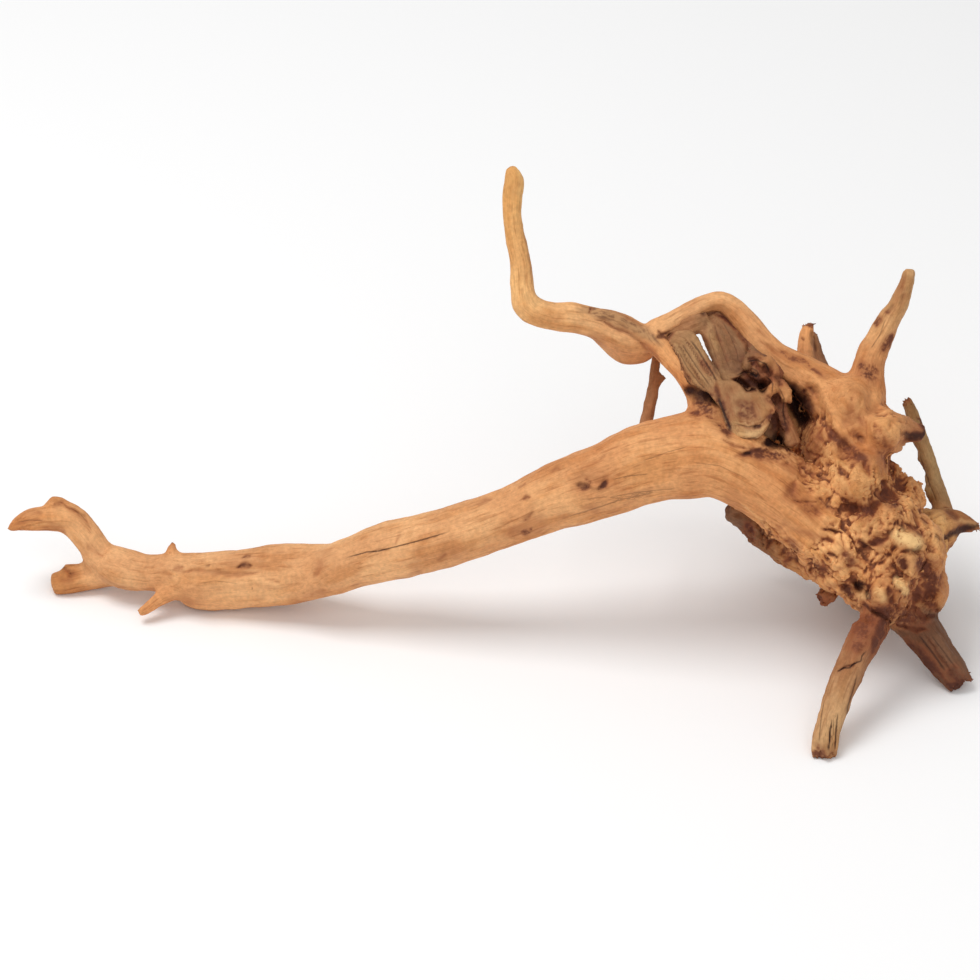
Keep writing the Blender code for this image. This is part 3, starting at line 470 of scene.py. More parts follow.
BURL_MARKS = [
    # the dark cavity beside the heart and the hole below it, darkened further with painted shade, the tongue
    # of wood in front of them and painted shadow under the trunk's lip
    Mark([(786, 386), (794, 394), (800, 406), (804, 418), (803, 427)], 5, 6.5, dark=1, red=1),
    Mark([(764, 444), (772, 442), (780, 440), (788, 448)], 3.8, 4, dark=1, red=1),
    Mark([(750, 450), (770, 452), (790, 452), (802, 456)], 2.2, 0.4, dark=0.12, red=1),
    Mark([(785, 408), (781, 421), (772, 432)], 2.6, 1, dark=0.2, red=1),
    Mark([(787, 412), (792, 426), (796, 440)], 3.2, -2.6, red=0.5, grey=0.3),
    Mark([(790, 434), (795, 445)], 1.8, -0.6, grey=0.7, pale=0.15),
    Mark([(736, 456), (750, 453), (768, 454), (792, 457)], 2.4, 1, red=0.95, dark=0.1),
    Mark([(745, 453), (749, 453)], 1, 1, dark=0.8),
    Mark([(808, 418), (815, 436), (810, 456), (800, 470)], 4.5, 0.8, red=0.65),
    Mark([(780, 462), (796, 466), (815, 482)], 3.4, 0.6, red=0.6),
    Mark([(804, 391)], 2.6, -1.1, red=0.4),
    Mark([(805, 391)], 1.2, 1.4, dark=0.5, red=0.9),
    # the recess under the fan, painted dark as its shade, the painted shadow below it and the trunk's bright
    # upper lip
    Mark([(684, 388), (698, 394), (710, 398), (722, 404)], 3.8, 3, dark=0.85, red=1),
    Mark([(690, 400), (708, 406), (722, 422), (732, 438)], 3.4, 1.2, red=1, dark=0.2),
    Mark([(688, 413), (704, 413), (716, 420)], 1.6, 0.8, red=0.9),
    Mark([(690, 424), (712, 426), (730, 440), (752, 447)], 2, -0.9),
    Mark([(722, 438), (734, 446), (748, 448)], 0.9, 0.8, red=0.7),
    # red lines down the arch
    Mark([(757, 328), (766, 336), (772, 340)], 0.8, 0.3, red=0.5),
    Mark([(760, 342), (772, 349), (788, 356), (802, 361), (814, 369), (826, 379)], 1.5, 0.6, red=0.85),
    Mark([(796, 352), (812, 364), (832, 378)], 1.2, 0.2, red=0.3),
    # ribs and grooves that run from the arch down into the burl
    Mark([(819, 384), (828, 410), (838, 432), (856, 448), (876, 468), (880, 488)], 3.2, -1.3),
    Mark([(826, 426), (836, 438), (849, 450), (863, 459), (869, 474)], 3, 1.6, red=0.9),
    Mark([(812, 438), (830, 456), (848, 468), (858, 486)], 3, -1.4),
    Mark([(838, 384), (832, 398), (830, 412)], 2.6, 0.8),
    Mark([(858, 392), (862, 415), (868, 438)], 5, -1.2, red=0.35),
    Mark([(851, 402), (856, 420), (862, 440)], 3.8, 0.2, red=0.6),
    Mark([(876, 424), (882, 445), (890, 462), (893, 478)], 3.4, 1.8, red=0.8),
    Mark([(862, 365), (872, 372), (878, 366)], 4, 0.3, dark=0.12, red=1),
    Mark([(902, 434), (911, 437), (920, 436), (929, 430)], 2.4, 0.4, dark=0.8, red=1),
    Mark([(918, 418), (923, 424), (926, 434)], 1.6, 0.3, dark=0.4, red=1),
    # swirls and lumps of the middle
    Mark([(838, 480), (856, 490), (870, 480)], 5.5, -2),
    Mark([(806, 482), (822, 492), (836, 486)], 4, -1.2),
    Mark([(796, 480), (790, 494), (802, 504)], 2.4, 1.2, red=0.7),
    Mark([(843, 498), (852, 506), (862, 514), (872, 508), (882, 502)], 3.4, 2, red=1, dark=0.05),
    Mark([(878, 490), (890, 498), (900, 506)], 3.4, 1.6, red=1, dark=0.05),
    Mark([(806, 504), (813, 512)], 2.4, 0.8, red=0.8),
    Mark([(795, 500), (806, 502), (818, 503)], 0.8, 0.8, red=0.7),
    Mark([(820, 528), (831, 530), (844, 533)], 0.9, 1.3, dark=0.3, red=1),
    Mark([(822, 512), (834, 520), (846, 522)], 4.2, -1.8),
    Mark([(850, 528), (860, 532), (866, 538)], 4.2, -1.6, red=0.2),
    Mark([(876, 516), (888, 512), (898, 518)], 5.4, -2.6),
    Mark([(860, 542), (866, 546)], 1.3, 1.4, dark=0.45, red=1),
    Mark([(866, 544), (880, 540), (892, 530)], 2.4, 1.4, red=0.9),
    # the cut stub
    Mark([(896, 536), (916, 543)], 4, -3),
    Mark([(898, 536), (916, 543)], 3.4, -0.6, pale=0.95),
    Mark([(900, 552), (914, 551), (922, 545)], 1.8, 1.6, dark=0.2, red=1),
    Mark([(906, 524), (918, 530), (924, 538)], 1.6, 1.4, red=0.9, dark=0.1),
    # the mass over the legs
    Mark([(870, 556), (882, 552), (894, 560)], 4.8, -2),
    Mark([(874, 569), (886, 568), (896, 572)], 3.2, -1.2),
    Mark([(896, 556), (903, 562), (906, 572)], 2.2, 1.2, dark=0.1, red=1),
    Mark([(895, 579), (901, 584), (906, 590)], 3, -2.2, pale=0.3),
    Mark([(897, 580), (900, 584)], 1.8, -0.3, pale=0.8),
    Mark([(903, 588), (906, 592)], 1.6, -0.3, pale=0.8),
    Mark([(876, 588), (880, 596), (884, 600)], 3.4, -2.2, pale=0.1),
    Mark([(878, 590), (883, 598)], 1.8, -0.3, pale=0.5),
    Mark([(889, 586), (890, 598), (896, 606)], 1.9, 1.8, dark=0.25, red=1),
    Mark([(868, 586), (869, 598)], 1.4, 1.4, dark=0.25, red=1),
    Mark([(854, 583), (860, 586), (865, 584)], 2.4, 3.5, dark=0.9, red=1),
    Mark([(860, 594), (866, 596)], 1.6, -1, pale=0.4),
    Mark([(834, 560), (840, 566)], 3, -1.6, pale=0.1),
    Mark([(826, 553), (832, 554), (839, 558)], 0.9, 1, dark=0.25, red=1),
    Mark([(806, 548), (814, 556)], 3.6, -1.6),
    Mark([(846, 556), (852, 564)], 2.4, 1, red=0.8),
    Mark([(812, 562), (820, 572), (808, 570)], 2.6, 1.4, dark=0.1, red=1),
    Mark([(840, 585), (850, 590), (852, 600)], 2.4, 1.5, dark=0.25, red=1),
    Mark([(914, 552), (924, 564), (932, 576), (932, 592), (922, 602)], 4.4, 2.4, red=1),
    Mark([(912, 580), (918, 594), (914, 604)], 2.6, 1.2, red=0.9),
    Mark([(936, 590), (944, 600), (940, 612)], 4.2, -1.6),
    Mark([(926, 600), (936, 608)], 1.6, 1, dark=0.05, red=0.9),
    Mark([(868, 608), (884, 613), (904, 617), (930, 621)], 3.8, -1, dark=0.12, red=1),
    Mark([(862, 603), (870, 609), (882, 616), (894, 624)], 1.4, 2, dark=0.4, red=1),
    Mark([(894, 624), (912, 628), (928, 630)], 1.2, 1.4, dark=0.15, red=1),
    # the skirt, the knuckle and its spike
    Mark([(746, 522), (749, 530), (750, 540)], 2, 0.6, dark=0.2, red=1),
    Mark([(757, 526), (758, 538), (757, 550)], 1.8, -1.2),
    Mark([(776, 540), (777, 552), (774, 562)], 1.8, -1.2),
    Mark([(792, 540), (794, 552), (790, 562)], 1.6, 0.4, grey=0.6),
    Mark([(770, 528), (770, 540), (766, 552)], 1.2, 1.2, dark=0.15, red=1),
    Mark([(752, 528), (752, 540)], 1, 0.9, dark=0.1, red=1),
    Mark([(784, 548), (788, 558), (784, 566)], 1.8, 1, red=0.9),
    # painted shadow below the trunk's edge
    Mark([(786, 538), (794, 547), (798, 556)], 1.6, 0.9, red=0.7),
    Mark([(790, 528), (804, 533), (822, 538), (844, 546)], 1.3, 0.3, red=0.5),
    Mark([(742, 504), (760, 519), (775, 533)], 0.8, -0.5, pale=0.25),
    Mark([(922, 519), (926, 523)], 0.9, 0.7, dark=0.3, red=0.6),
    Mark([(937, 536), (940, 538)], 0.9, 1.2, dark=0.5, red=0.8),
    Mark([(926, 512), (936, 516), (946, 522)], 3, -0.8, pale=0.2),
    Mark([(932, 528), (936, 540), (940, 550)], 2.4, -0.5, pale=0.15),
    Mark([(944, 536), (950, 544), (952, 556)], 2.4, 0.6, red=0.8),
    Mark([(945, 508), (952, 514), (958, 520)], 1.4, 1, dark=0.3, red=0.7),
    Mark([(942, 540), (952, 534), (964, 529), (980, 525)], 1.9, 0.6, dark=0.9, red=1),
    Mark([(962, 521), (974, 525)], 1.4, -0.2, pale=0.3),
    Mark([(803, 337), (804, 339)], 0.5, 0.6, dark=0.4, red=0.8),
    Mark([(811, 330), (813, 342), (816, 352)], 1.2, 0.8, dark=0.5),
    # the horn
    Mark([(888, 311), (892, 306)], 1.2, 0.6, dark=0.3, red=0.8),
    Mark([(902, 303), (904, 296)], 1.2, 0.3, dark=0.15, red=0.5),
    Mark([(876, 324), (879, 319)], 1.1, 0.5, red=0.9),
    Mark([(893, 333), (888, 342), (881, 352)], 1.9, 0.3, red=0.95),
    Mark([(893, 306), (898, 295), (901, 284), (904, 276)], 1.4, 0.2, red=0.5),
    Mark([(860, 362), (866, 370), (872, 378)], 3.4, 0.2, dark=0.18, red=1),
    # the front leg: a broken edge across it, long splits and its reddish upper end
    Mark([(888, 612), (882, 630), (876, 648), (872, 656)], 3.6, 0.6, dark=0.15, red=1),
    Mark([(870, 606), (866, 622), (860, 640), (854, 656)], 5, -0.2, red=0.85),
    Mark([(858, 662), (852, 666), (846, 667), (838, 671)], 0.7, 0.9, dark=0.35, red=0.5),
    Mark([(868, 654), (860, 660), (848, 664), (836, 668)], 2.4, -0.7),
    Mark([(856, 680), (850, 700), (846, 716)], 0.8, 0.7, dark=0.1, red=0.5),
    Mark([(831, 726), (829, 738), (828, 752)], 0.6, 1, dark=0.45, red=0.4),
    Mark([(838, 722), (836, 738), (834, 752)], 0.5, 0.7, dark=0.25, red=0.4),
    Mark([(814, 744), (824, 751), (838, 753)], 1.6, 0.3, dark=0.2, red=0.8),
    # the rear leg's dark split face
    Mark([(906, 640), (920, 656), (934, 672), (946, 684)], 3.2, 1, dark=0.45, red=1),
    Mark([(926, 636), (940, 656), (954, 674)], 0.8, 0.8, dark=0.3, red=0.5),
    Mark([(953, 672), (962, 682)], 2.6, 0.4, dark=0.45, red=0.9),
    Mark([(942, 680), (952, 687), (962, 684)], 2.4, 0.2, dark=0.5, red=1),
]
HEART_MARKS = [
    # holes of the knot, with the creases among its curls, painted dark red-brown as their shade
    Mark([(762, 385), (764, 389)], 2, 4, dark=1),
    Mark([(733, 378), (741, 381), (748, 389), (758, 391)], 1.6, 3, dark=0.75, red=1),
    Mark([(752, 375), (756, 376)], 0.9, 1.4, dark=0.8, red=1),
    Mark([(748, 358), (753, 360), (752, 366)], 1.4, 1.2, dark=0.3, red=1),
    Mark([(764, 366), (771, 374)], 1.2, 1.2, dark=0.35, red=1),
    Mark([(776, 377), (780, 384)], 1.2, 1.2, dark=0.4, red=1),
    Mark([(758, 364), (764, 362), (769, 367)], 0.8, -0.5, pale=0.15),
    Mark([(742, 384), (750, 382), (757, 383), (763, 388)], 3.2, 0.6, dark=0.6, red=1),
    Mark([(771, 440), (778, 438), (783, 444)], 3.4, 0.5, dark=0.95),
    Mark([(776, 398), (781, 410), (784, 424), (785, 436)], 3, 0.4, dark=0.3, red=1),
    Mark([(770, 412), (774, 424), (770, 434)], 3, 0.3, dark=0.4, red=1),
    Mark([(746, 352), (758, 366), (770, 360)], 4, 0, red=0.5),
    # the block: its worn face, rim and the dark patch on it
    Mark([(736, 404), (748, 405), (749, 413), (736, 416)], 3.4, 0.5, dark=0.26, red=0.9),
    Mark([(726, 392), (729, 406), (734, 420)], 1.4, 0.3, red=0.6),
    Mark([(733, 433), (746, 435), (759, 432), (771, 421)], 1.3, -0.5, pale=0.2),
    Mark([(735, 425), (750, 428), (762, 422), (770, 412)], 0.7, 0.5, red=0.5),
    Mark([(733, 420), (748, 424), (760, 418)], 0.5, 0.4, red=0.4),
    Mark([(755, 427), (759, 427)], 0.9, 1, dark=0.7, red=0.8),
    Mark([(768, 398), (774, 402)], 1.8, 0.9, dark=0.25, red=0.8),
    # painted shadow along the block's left edge
    Mark([(716, 384), (720, 402), (725, 418), (732, 436)], 1.8, 0.6, dark=0.45, red=1),
    Mark([(740, 386), (728, 392), (722, 400)], 2.4, 0.2, red=0.3),
    # the leaf, with painted shadow on its left side and along its right edge under the arch
    Mark([(703, 333), (708, 348), (714, 364), (719, 377)], 1.5, 0.8, dark=0.55, red=0.5),
    Mark([(712, 320), (718, 336), (724, 352), (728, 366)], 0.6, 0.3, red=0.35),
    Mark([(722, 326), (732, 342), (738, 356)], 0.6, 0.3, red=0.3),
    Mark([(706, 318), (712, 334), (718, 352)], 1.6, -0.3, pale=0.12),
    Mark([(714, 312), (728, 321), (740, 331), (748, 346), (751, 356)], 1.4, 0.8, dark=0.3, red=1),
    Mark([(700, 309), (703, 314)], 1.4, 0.8, dark=0.7, red=0.6),
    # the fan: lines between its fibres, its dark edges and the painted shade of the recess below it
    Mark([(669, 342), (677, 358), (683, 372), (692, 386)], 1.1, 0.9, dark=0.45, red=0.7),
    Mark([(678, 346), (688, 362), (700, 380), (708, 392)], 0.6, 0.7, dark=0.25, red=0.4),
    Mark([(684, 338), (696, 354), (706, 368), (716, 382)], 0.6, 0.6, dark=0.25, red=0.4),
    Mark([(700, 358), (706, 366), (714, 376)], 2.2, 0.6, dark=0.1, red=0.8),
    Mark([(674, 342), (684, 358), (696, 376)], 1, -0.5, pale=0.12),
    Mark([(662, 336), (668, 337), (674, 333)], 0.9, 0.9, dark=0.5, red=0.8),
    Mark([(690, 388), (702, 392), (714, 396)], 2, 0.5, dark=0.5, red=0.8),
]

# Cracks too thin to carve: frame points, half width in millimetres and how dark they are
Crack = namedtuple("Crack", "points half_width strength")
CRACKS = [
    Crack([(342, 559), (356, 555), (367, 552), (379, 551), (399, 546), (418, 541), (452, 531)], 0.26, 0.9),
    Crack([(612, 480), (628, 476), (650, 474)], 0.22, 0.5),
    Crack([(606, 498), (640, 492), (680, 488)], 0.2, 0.45),
    Crack([(580, 500), (604, 497), (640, 500)], 0.2, 0.4),
    Crack([(560, 519), (590, 510), (620, 500), (660, 491)], 0.24, 0.5),
    Crack([(640, 462), (668, 452), (690, 446)], 0.18, 0.4),
    Crack([(690, 462), (720, 466), (750, 480)], 0.18, 0.35),
    Crack([(430, 576), (460, 568), (500, 556)], 0.18, 0.3),
    Crack([(196, 584), (216, 581), (240, 584)], 0.2, 0.3),
    Crack([(18, 522), (30, 520), (44, 521)], 0.18, 0.4),
    Crack([(72, 509), (80, 514), (88, 523)], 0.18, 0.35),
    Crack([(868, 650), (862, 656), (861, 661), (853, 664), (850, 668), (843, 668), (836, 673)], 0.28, 0.9),
    Crack([(858, 672), (853, 690), (848, 706), (846, 724)], 0.28, 0.7),
    Crack([(832, 718), (830, 734), (829, 752)], 0.3, 0.8),
    Crack([(838, 712), (836, 730), (835, 750)], 0.25, 0.8),
    Crack([(824, 700), (821, 720), (819, 744)], 0.2, 0.6),
    Crack([(918, 634), (932, 652), (946, 672)], 0.35, 0.8),
    Crack([(930, 634), (944, 652), (956, 668)], 0.25, 0.6),
    Crack([(920, 455), (928, 480), (938, 505)], 0.25, 0.5),
    Crack([(870, 350), (880, 335), (886, 318)], 0.22, 0.5),
]

HEART_CRACKS = [
    Crack([(670, 343), (674, 354), (677, 363), (682, 374), (690, 385), (702, 394)], 0.4, 0.9),
    Crack([(689, 338), (698, 350), (706, 363), (714, 376), (718, 384)], 0.35, 0.8),
    Crack([(681, 342), (692, 360), (703, 376), (712, 388)], 0.25, 0.6),
    Crack([(678, 350), (687, 367), (699, 383), (708, 391)], 0.22, 0.5),
    Crack([(722, 320), (731, 337), (737, 352), (739, 364)], 0.2, 0.35),
    Crack([(714, 322), (719, 340), (726, 360), (731, 372)], 0.2, 0.3),
    Crack([(708, 330), (712, 346), (718, 362)], 0.2, 0.3),
    Crack([(733, 423), (748, 427), (760, 425), (769, 415)], 0.22, 0.5),
    Crack([(732, 436), (746, 439), (758, 437)], 0.25, 0.7),
    Crack([(718, 396), (722, 408), (727, 420), (732, 432)], 0.5, 0.7),
    Crack([(736, 376), (744, 372), (752, 373), (758, 378)], 0.3, 0.8),
    Crack([(746, 362), (756, 360), (766, 364), (770, 374)], 0.3, 0.8),
    Crack([(750, 368), (757, 371), (760, 378)], 0.3, 0.7),
    Crack([(766, 376), (773, 384), (772, 394)], 0.3, 0.7),
    Crack([(778, 386), (784, 398), (783, 412), (786, 428)], 0.3, 0.6),
]

# Zones of the frame that are rough: middle, half width and half height in pixels, and how rough
ROUGH_ZONES = [
    (872, 560, 78, 62, 1), (832, 562, 34, 40, 0.9), (905, 490, 26, 34, 1), (780, 448, 36, 18, 0.5),
    (775, 545, 46, 34, 0.8), (842, 490, 50, 38, 0.9), (900, 602, 46, 28, 1), (857, 419, 14, 26, 0.4),
    (890, 425, 20, 26, 0.5), (802, 424, 20, 44, 0.65), (700, 405, 22, 22, 0.35), (816, 448, 22, 44, 0.85),
    (735, 515, 20, 14, 0.6),
]
HEART_ROUGH_ZONES = [(759, 370, 17, 19, 0.9), (782, 412, 12, 38, 0.7), (720, 370, 60, 70, 0.15)]

# Where the burl is smooth: the cut stub, and a band that runs over it from the trunk
SMOOTH_ZONES = [(908, 541, 15, 10, 1)]
SMOOTH_BAND = [(690, 480), (740, 485), (785, 503), (806, 520)]
SMOOTH_BAND_HALF_WIDTH = 10


def from_plane(points):
    """Points of the leaning plane as points over the ground, in millimetres from the plane's middle."""
    across, up, towards = np.moveaxis(np.asarray(points, float), -1, 0)
    behind = up * math.sin(LEAN) - towards * math.cos(LEAN)
    height = up * math.cos(LEAN) + towards * math.sin(LEAN)
    return np.stack((across, behind, height + GROUND_DROP), -1)


def direction(vector):
    """A direction of the leaning plane as one of the world."""
    turned = from_plane(vector) - from_plane((0, 0, 0))
    return turned / np.linalg.norm(turned)


VIEWER = direction((0, 0, 1))


def to_plane(points):
    """The way back from from_plane."""
    height = points[:, 2] - GROUND_DROP
    up = points[:, 1] * math.sin(LEAN) + height * math.cos(LEAN)
    towards = height * math.sin(LEAN) - points[:, 1] * math.cos(LEAN)
    return np.stack((points[:, 0], up, towards), -1)


def smoothstep(low, high, value):
    """0 below low, 1 above high, smooth between."""
    share = np.clip((value - low) / (high - low), 0, 1)
    return share * share * (3 - 2 * share)


def linear(colour):
    """A screen colour as the light that it stands for."""
    return tuple(c / 12.92 if c <= 0.04045 else ((c + 0.055) / 1.055) ** 2.4 for c in colour)


# Noise that is the same on each run

GRADIENTS = np.array(
    [v for v in itertools.product((-1, 0, 1), repeat=3) if sum(map(abs, v)) == 2], np.float32
)
AXIS_PRIMES = np.array((374761393, 668265263, 2246822519), np.uint32)
SEED_STEP = 3266489
SEED_START = 17
MIXING_PRIME = np.uint32(1274126177)
PLACES_IN_CELL = 1023


def hashed(cells, seed):
    """A well mixed whole number for each cell of a grid."""
    mixed = (cells.astype(np.uint32) * AXIS_PRIMES).sum(-1, dtype=np.uint32)
    mixed = mixed + np.uint32(seed * SEED_STEP + SEED_START)
    mixed = (mixed ^ (mixed >> np.uint32(13))) * MIXING_PRIME
    return mixed ^ (mixed >> np.uint32(16))


def clouds(points, seed=0):
    """Smooth noise from about -1 to 1 at each point."""
    cells = np.floor(points).astype(np.int64)
    part = (points - cells).astype(np.float32)
    ease = part * part * part * (part * (part * 6 - 15) + 10)
    total = np.zeros(len(points), np.float32)
    for corner in itertools.product((0, 1), repeat=3):
        slopes = GRADIENTS[hashed(cells + np.array(corner), seed) % len(GRADIENTS)]
        height = ((part - np.array(corner, np.float32)) * slopes).sum(1)
        share = np.where(np.array(corner, bool), ease, 1 - ease).prod(1)
        total += height * share
    return total


def layered_clouds(points, layers, seed=0):
    """Noise with finer and fainter noise laid over it."""
    total = 0
    for layer in range(layers):
        total = total + clouds(points * 2**layer, seed + layer) / 2**layer
    return total


def pits(points, seed=0):
    """Distance to the nearest of scattered points, in cells."""
    cells = np.floor(points).astype(np.int64)
    nearest = np.full(len(points), np.inf, np.float32)
    steps = np.uint32(PLACES_IN_CELL)
    for corner in itertools.product((-1, 0, 1), repeat=3):
        cell = cells + np.array(corner)
        offsets = [(hashed(cell, seed + 7 * axis) & steps) / PLACES_IN_CELL for axis in range(3)]
        place = cell + np.stack(offsets, -1)
        nearest = np.minimum(nearest, np.linalg.norm(points - place, axis=1))
    return nearest


# Shapes

def smooth_stations(stations, step=STATION_STEP):
    """Catmull-Rom points through the stations, a step apart."""
    points = np.array(stations, float)
    before = np.vstack([2 * points[0] - points[1], points[:-1]])
    after = np.vstack([points[1:], 2 * points[-1] - points[-2]])
    found = [points[0]]
    for i in range(len(points) - 1):
        start_slope = (points[i + 1] - before[i]) / 2
        end_slope = (after[i + 1] - points[i]) / 2
        steps = max(1, round(float(np.linalg.norm(points[i + 1, :3] - points[i, :3])) / step))
        for t in np.arange(1, steps + 1) / steps:
            near = (1 + 2 * t) * (1 - t) ** 2 * points[i] + t * (1 - t) ** 2 * start_slope
            far = t * t * (3 - 2 * t) * points[i + 1] + t * t * (t - 1) * end_slope
            found.append(near + far)
    return np.array(found)


def frames_along(path):
    """Middles, and the unit vectors along, to the side and in depth, at each point of a path."""
    middles = from_plane(path[:, :3])
    along = np.gradient(middles, axis=0)
    along /= np.linalg.norm(along, axis=1, keepdims=True)
    side = np.cross(VIEWER, middles[1] - middles[0])
    sides = []
    for way in along:
        side = side - way * side.dot(way)
        side /= np.linalg.norm(side)
        sides.append(side)
    sides = np.array(sides)
    return middles, along, sides, np.cross(along, sides)


def add_limb(bm, stations, depth_share=1.0):
    """A closed, fluted tube through the stations, with blunt ends, as deep as this share of its width."""
    flutes = SPLIT_FLUTES if stations in SPLIT_LIMBS else FLUTES
    path = smooth_stations(stations)
    middles, _, sides, depths = frames_along(path)
    angles = 2 * np.pi * np.arange(SIDES) / SIDES
    rings = []
    for i, middle in enumerate(middles):
        swell = np.ones(SIDES)
        for count, share, turns, start in flutes:
            swell += share * np.cos(count * angles + start + 2 * np.pi * turns * i / len(middles))
        round_it = np.outer(np.cos(angles), sides[i]) + np.outer(np.sin(angles), depths[i]) * depth_share
        ring = middle + round_it * ((path[i, 3] + EASED_AWAY) * swell)[:, None]
        rings.append([bm.verts.new(point) for point in ring])
    for ring, following in zip(rings, rings[1:]):
        for k in range(SIDES):
            after = (k + 1) % SIDES
            bm.faces.new((ring[k], ring[after], following[after], following[k]))
    for ring, middle, beyond, width in (
        (rings[0], middles[0], middles[1], path[0, 3]), (rings[-1], middles[-1], middles[-2], path[-1, 3]),
    ):
        outwards = (middle - beyond) / np.linalg.norm(middle - beyond)
        tip = bm.verts.new(middle + outwards * width * END_BULGE)
        for k in range(SIDES):
            bm.faces.new((ring[k], ring[(k + 1) % SIDES], tip))


def add_slab(bm, outline, thickness):
    """A slab of split wood: its face has this outline, and its back the same one farther from the viewer."""
    face = np.array(outline, float)
    front = [bm.verts.new(point) for point in from_plane(face)]
    back = [bm.verts.new(point) for point in from_plane(face - (0, 0, thickness))]
    bm.faces.new(front)
    bm.faces.new(back[::-1])
    for k in range(len(outline)):
        after = (k + 1) % len(outline)
        bm.faces.new((front[k], front[after], back[after], back[k]))


def add_knob(bm, middle, half_sizes):
    """An ellipsoid of the burl, its axes along the leaning plane."""
    axes = Matrix([direction(axis) for axis in ((1, 0, 0), (0, 1, 0), (0, 0, 1))]).transposed()
    place = Matrix.Translation(from_plane(middle)) @ (axes @ Matrix.Diagonal(half_sizes)).to_4x4()
    bmesh.ops.create_icosphere(bm, subdivisions=3, radius=1, matrix=place)


def add_object(name, data):
    """A new object in the scene."""
    thing = bpy.data.objects.new(name, data)
    bpy.context.scene.collection.objects.link(thing)
    return thing


def object_from(name, bm):
    """The finished bmesh as an object, its faces turned outwards."""
    bmesh.ops.recalc_face_normals(bm, faces=bm.faces)
    mesh = bpy.data.meshes.new(name)
    bm.to_mesh(mesh)
    bm.free()
    return add_object(name, mesh)


def plain_mesh(thing):
    """The object's mesh with its modifiers in it. The object is removed."""
    graph = bpy.context.evaluated_depsgraph_get()
    mesh = bpy.data.meshes.new_from_object(thing.evaluated_get(graph))
    old = thing.data
    name = thing.name
    bpy.data.objects.remove(thing)
    bpy.data.meshes.remove(old)
    mesh.name = name
    return mesh


def fused_mesh(thing, voxel):
    """One even skin of quads round all the overlapping shapes of the object, with no pockets inside it."""
    remesh = thing.modifiers.new("skin", "REMESH")
    remesh.mode = "VOXEL"
    remesh.voxel_size = voxel
    ease = thing.modifiers.new("ease", "SMOOTH")
    ease.factor, ease.iterations = SKIN_EASE
    mesh = plain_mesh(thing)
    bm = bmesh.new()
    bm.from_mesh(mesh)
    labels = face_groups(bm, set())
    largest = np.bincount(labels).argmax()
    bm.faces.ensure_lookup_table()
    pockets = [bm.faces[i] for i in np.flatnonzero(labels != largest)]
    bmesh.ops.delete(bm, geom=pockets, context="FACES")
    bm.to_mesh(mesh)
    bm.free()
    return mesh


def face_groups(bm, blocked):
    """A label for each face: faces that share an edge share a label, unless the edge is blocked."""
    bm.faces.index_update()
    bm.edges.index_update()
    labels = np.full(len(bm.faces), -1)
    label = 0
    for first in bm.faces:
        if labels[first.index] >= 0:
            continue
        labels[first.index] = label
        waiting = [first]
        while waiting:
            for edge in waiting.pop().edges:
                if edge.index in blocked:
                    continue
                for other in edge.link_faces:
                    if labels[other.index] < 0:
                        labels[other.index] = label
                        waiting.append(other)
        label += 1
    return labels


def add_shelter(meshes):
    """Leaves on each point of the meshes how closed in it is by the wood around it, from 0 to 1."""
    points = []
    faces = []
    for mesh in meshes:
        faces += [[corner + len(points) for corner in polygon.vertices] for polygon in mesh.polygons]
        points += [vertex.co.copy() for vertex in mesh.vertices]
    tree = BVHTree.FromPolygons(points, faces)
    ways = [Vector(way).normalized() for way in GRADIENTS.tolist()]
    for mesh in meshes:
        shelter = np.zeros(len(mesh.vertices))
        for i, vertex in enumerate(mesh.vertices):
            if vertex.co.x < SHELTER_FROM:
                continue
            start = vertex.co + vertex.normal * SHELTER_START
            outwards = [way for way in ways if way.dot(vertex.normal) > SHELTER_LEAST_RISE]
            found = [tree.ray_cast(start, way, SHELTER_REACH)[3] for way in outwards]
            closed = [0 if far is None else 1 - far / SHELTER_REACH for far in found]
            shelter[i] = sum(closed) / max(1, len(closed))
        store(mesh, "shelter", shelter)


def subdivided(mesh):
    """The mesh with each face made four and smoothed."""
    thing = add_object(mesh.name, mesh)
    finer = thing.modifiers.new("finer", "SUBSURF")
    finer.levels = finer.render_levels = 1
    return plain_mesh(thing)


def label_pieces(mesh):
    """Gives each face the number of the length of wood that it belongs to, parted at the forks."""
    bm = bmesh.new()
    bm.from_mesh(mesh)
    bm.edges.index_update()
    bm.faces.index_update()
    centres = np.array([face.calc_center_median() for face in bm.faces])
    pairs = np.array([[f.index for f in edge.link_faces] for edge in bm.edges])
    blocked = set()
    for middle, way, reach in FORKS:
        place = from_plane(middle)
        beyond = (centres - place) @ direction(way) > 0
        near = np.linalg.norm(centres - place, axis=1) < reach
        across = (beyond[pairs[:, 0]] != beyond[pairs[:, 1]]) & near[pairs].any(1)
        blocked.update(np.flatnonzero(across).tolist())
    labels = face_groups(bm, blocked)
    bm.free()
    sizes = np.bincount(labels)
    owner = {}
    for number, seed in enumerate(PIECES.values()):
        distance = np.linalg.norm(centres - from_plane(seed), axis=1)
        distance[sizes[labels] < SMALLEST_LENGTH] = np.inf
        owner[int(labels[distance.argmin()])] = number
    if len(owner) != len(PIECES):
        raise RuntimeError(f"the skin parts into {len(owner)} lengths of wood for {len(PIECES)} names")
    numbers = np.array([owner.get(int(label), 0) for label in labels], np.int32)  # scraps go to the burl
    if (sizes[[label for label in range(len(sizes)) if label not in owner]] > LARGEST_SCRAP).any():
        raise RuntimeError("a length of wood has no name")
    mesh.polygons.foreach_set("material_index", numbers)


def read(things, key, width=1, kind=np.float32):
    """A property of each of the things as an array."""
    values = np.empty(len(things) * width, kind)
    things.foreach_get(key, values)
    return values.reshape(-1, width) if width > 1 else values


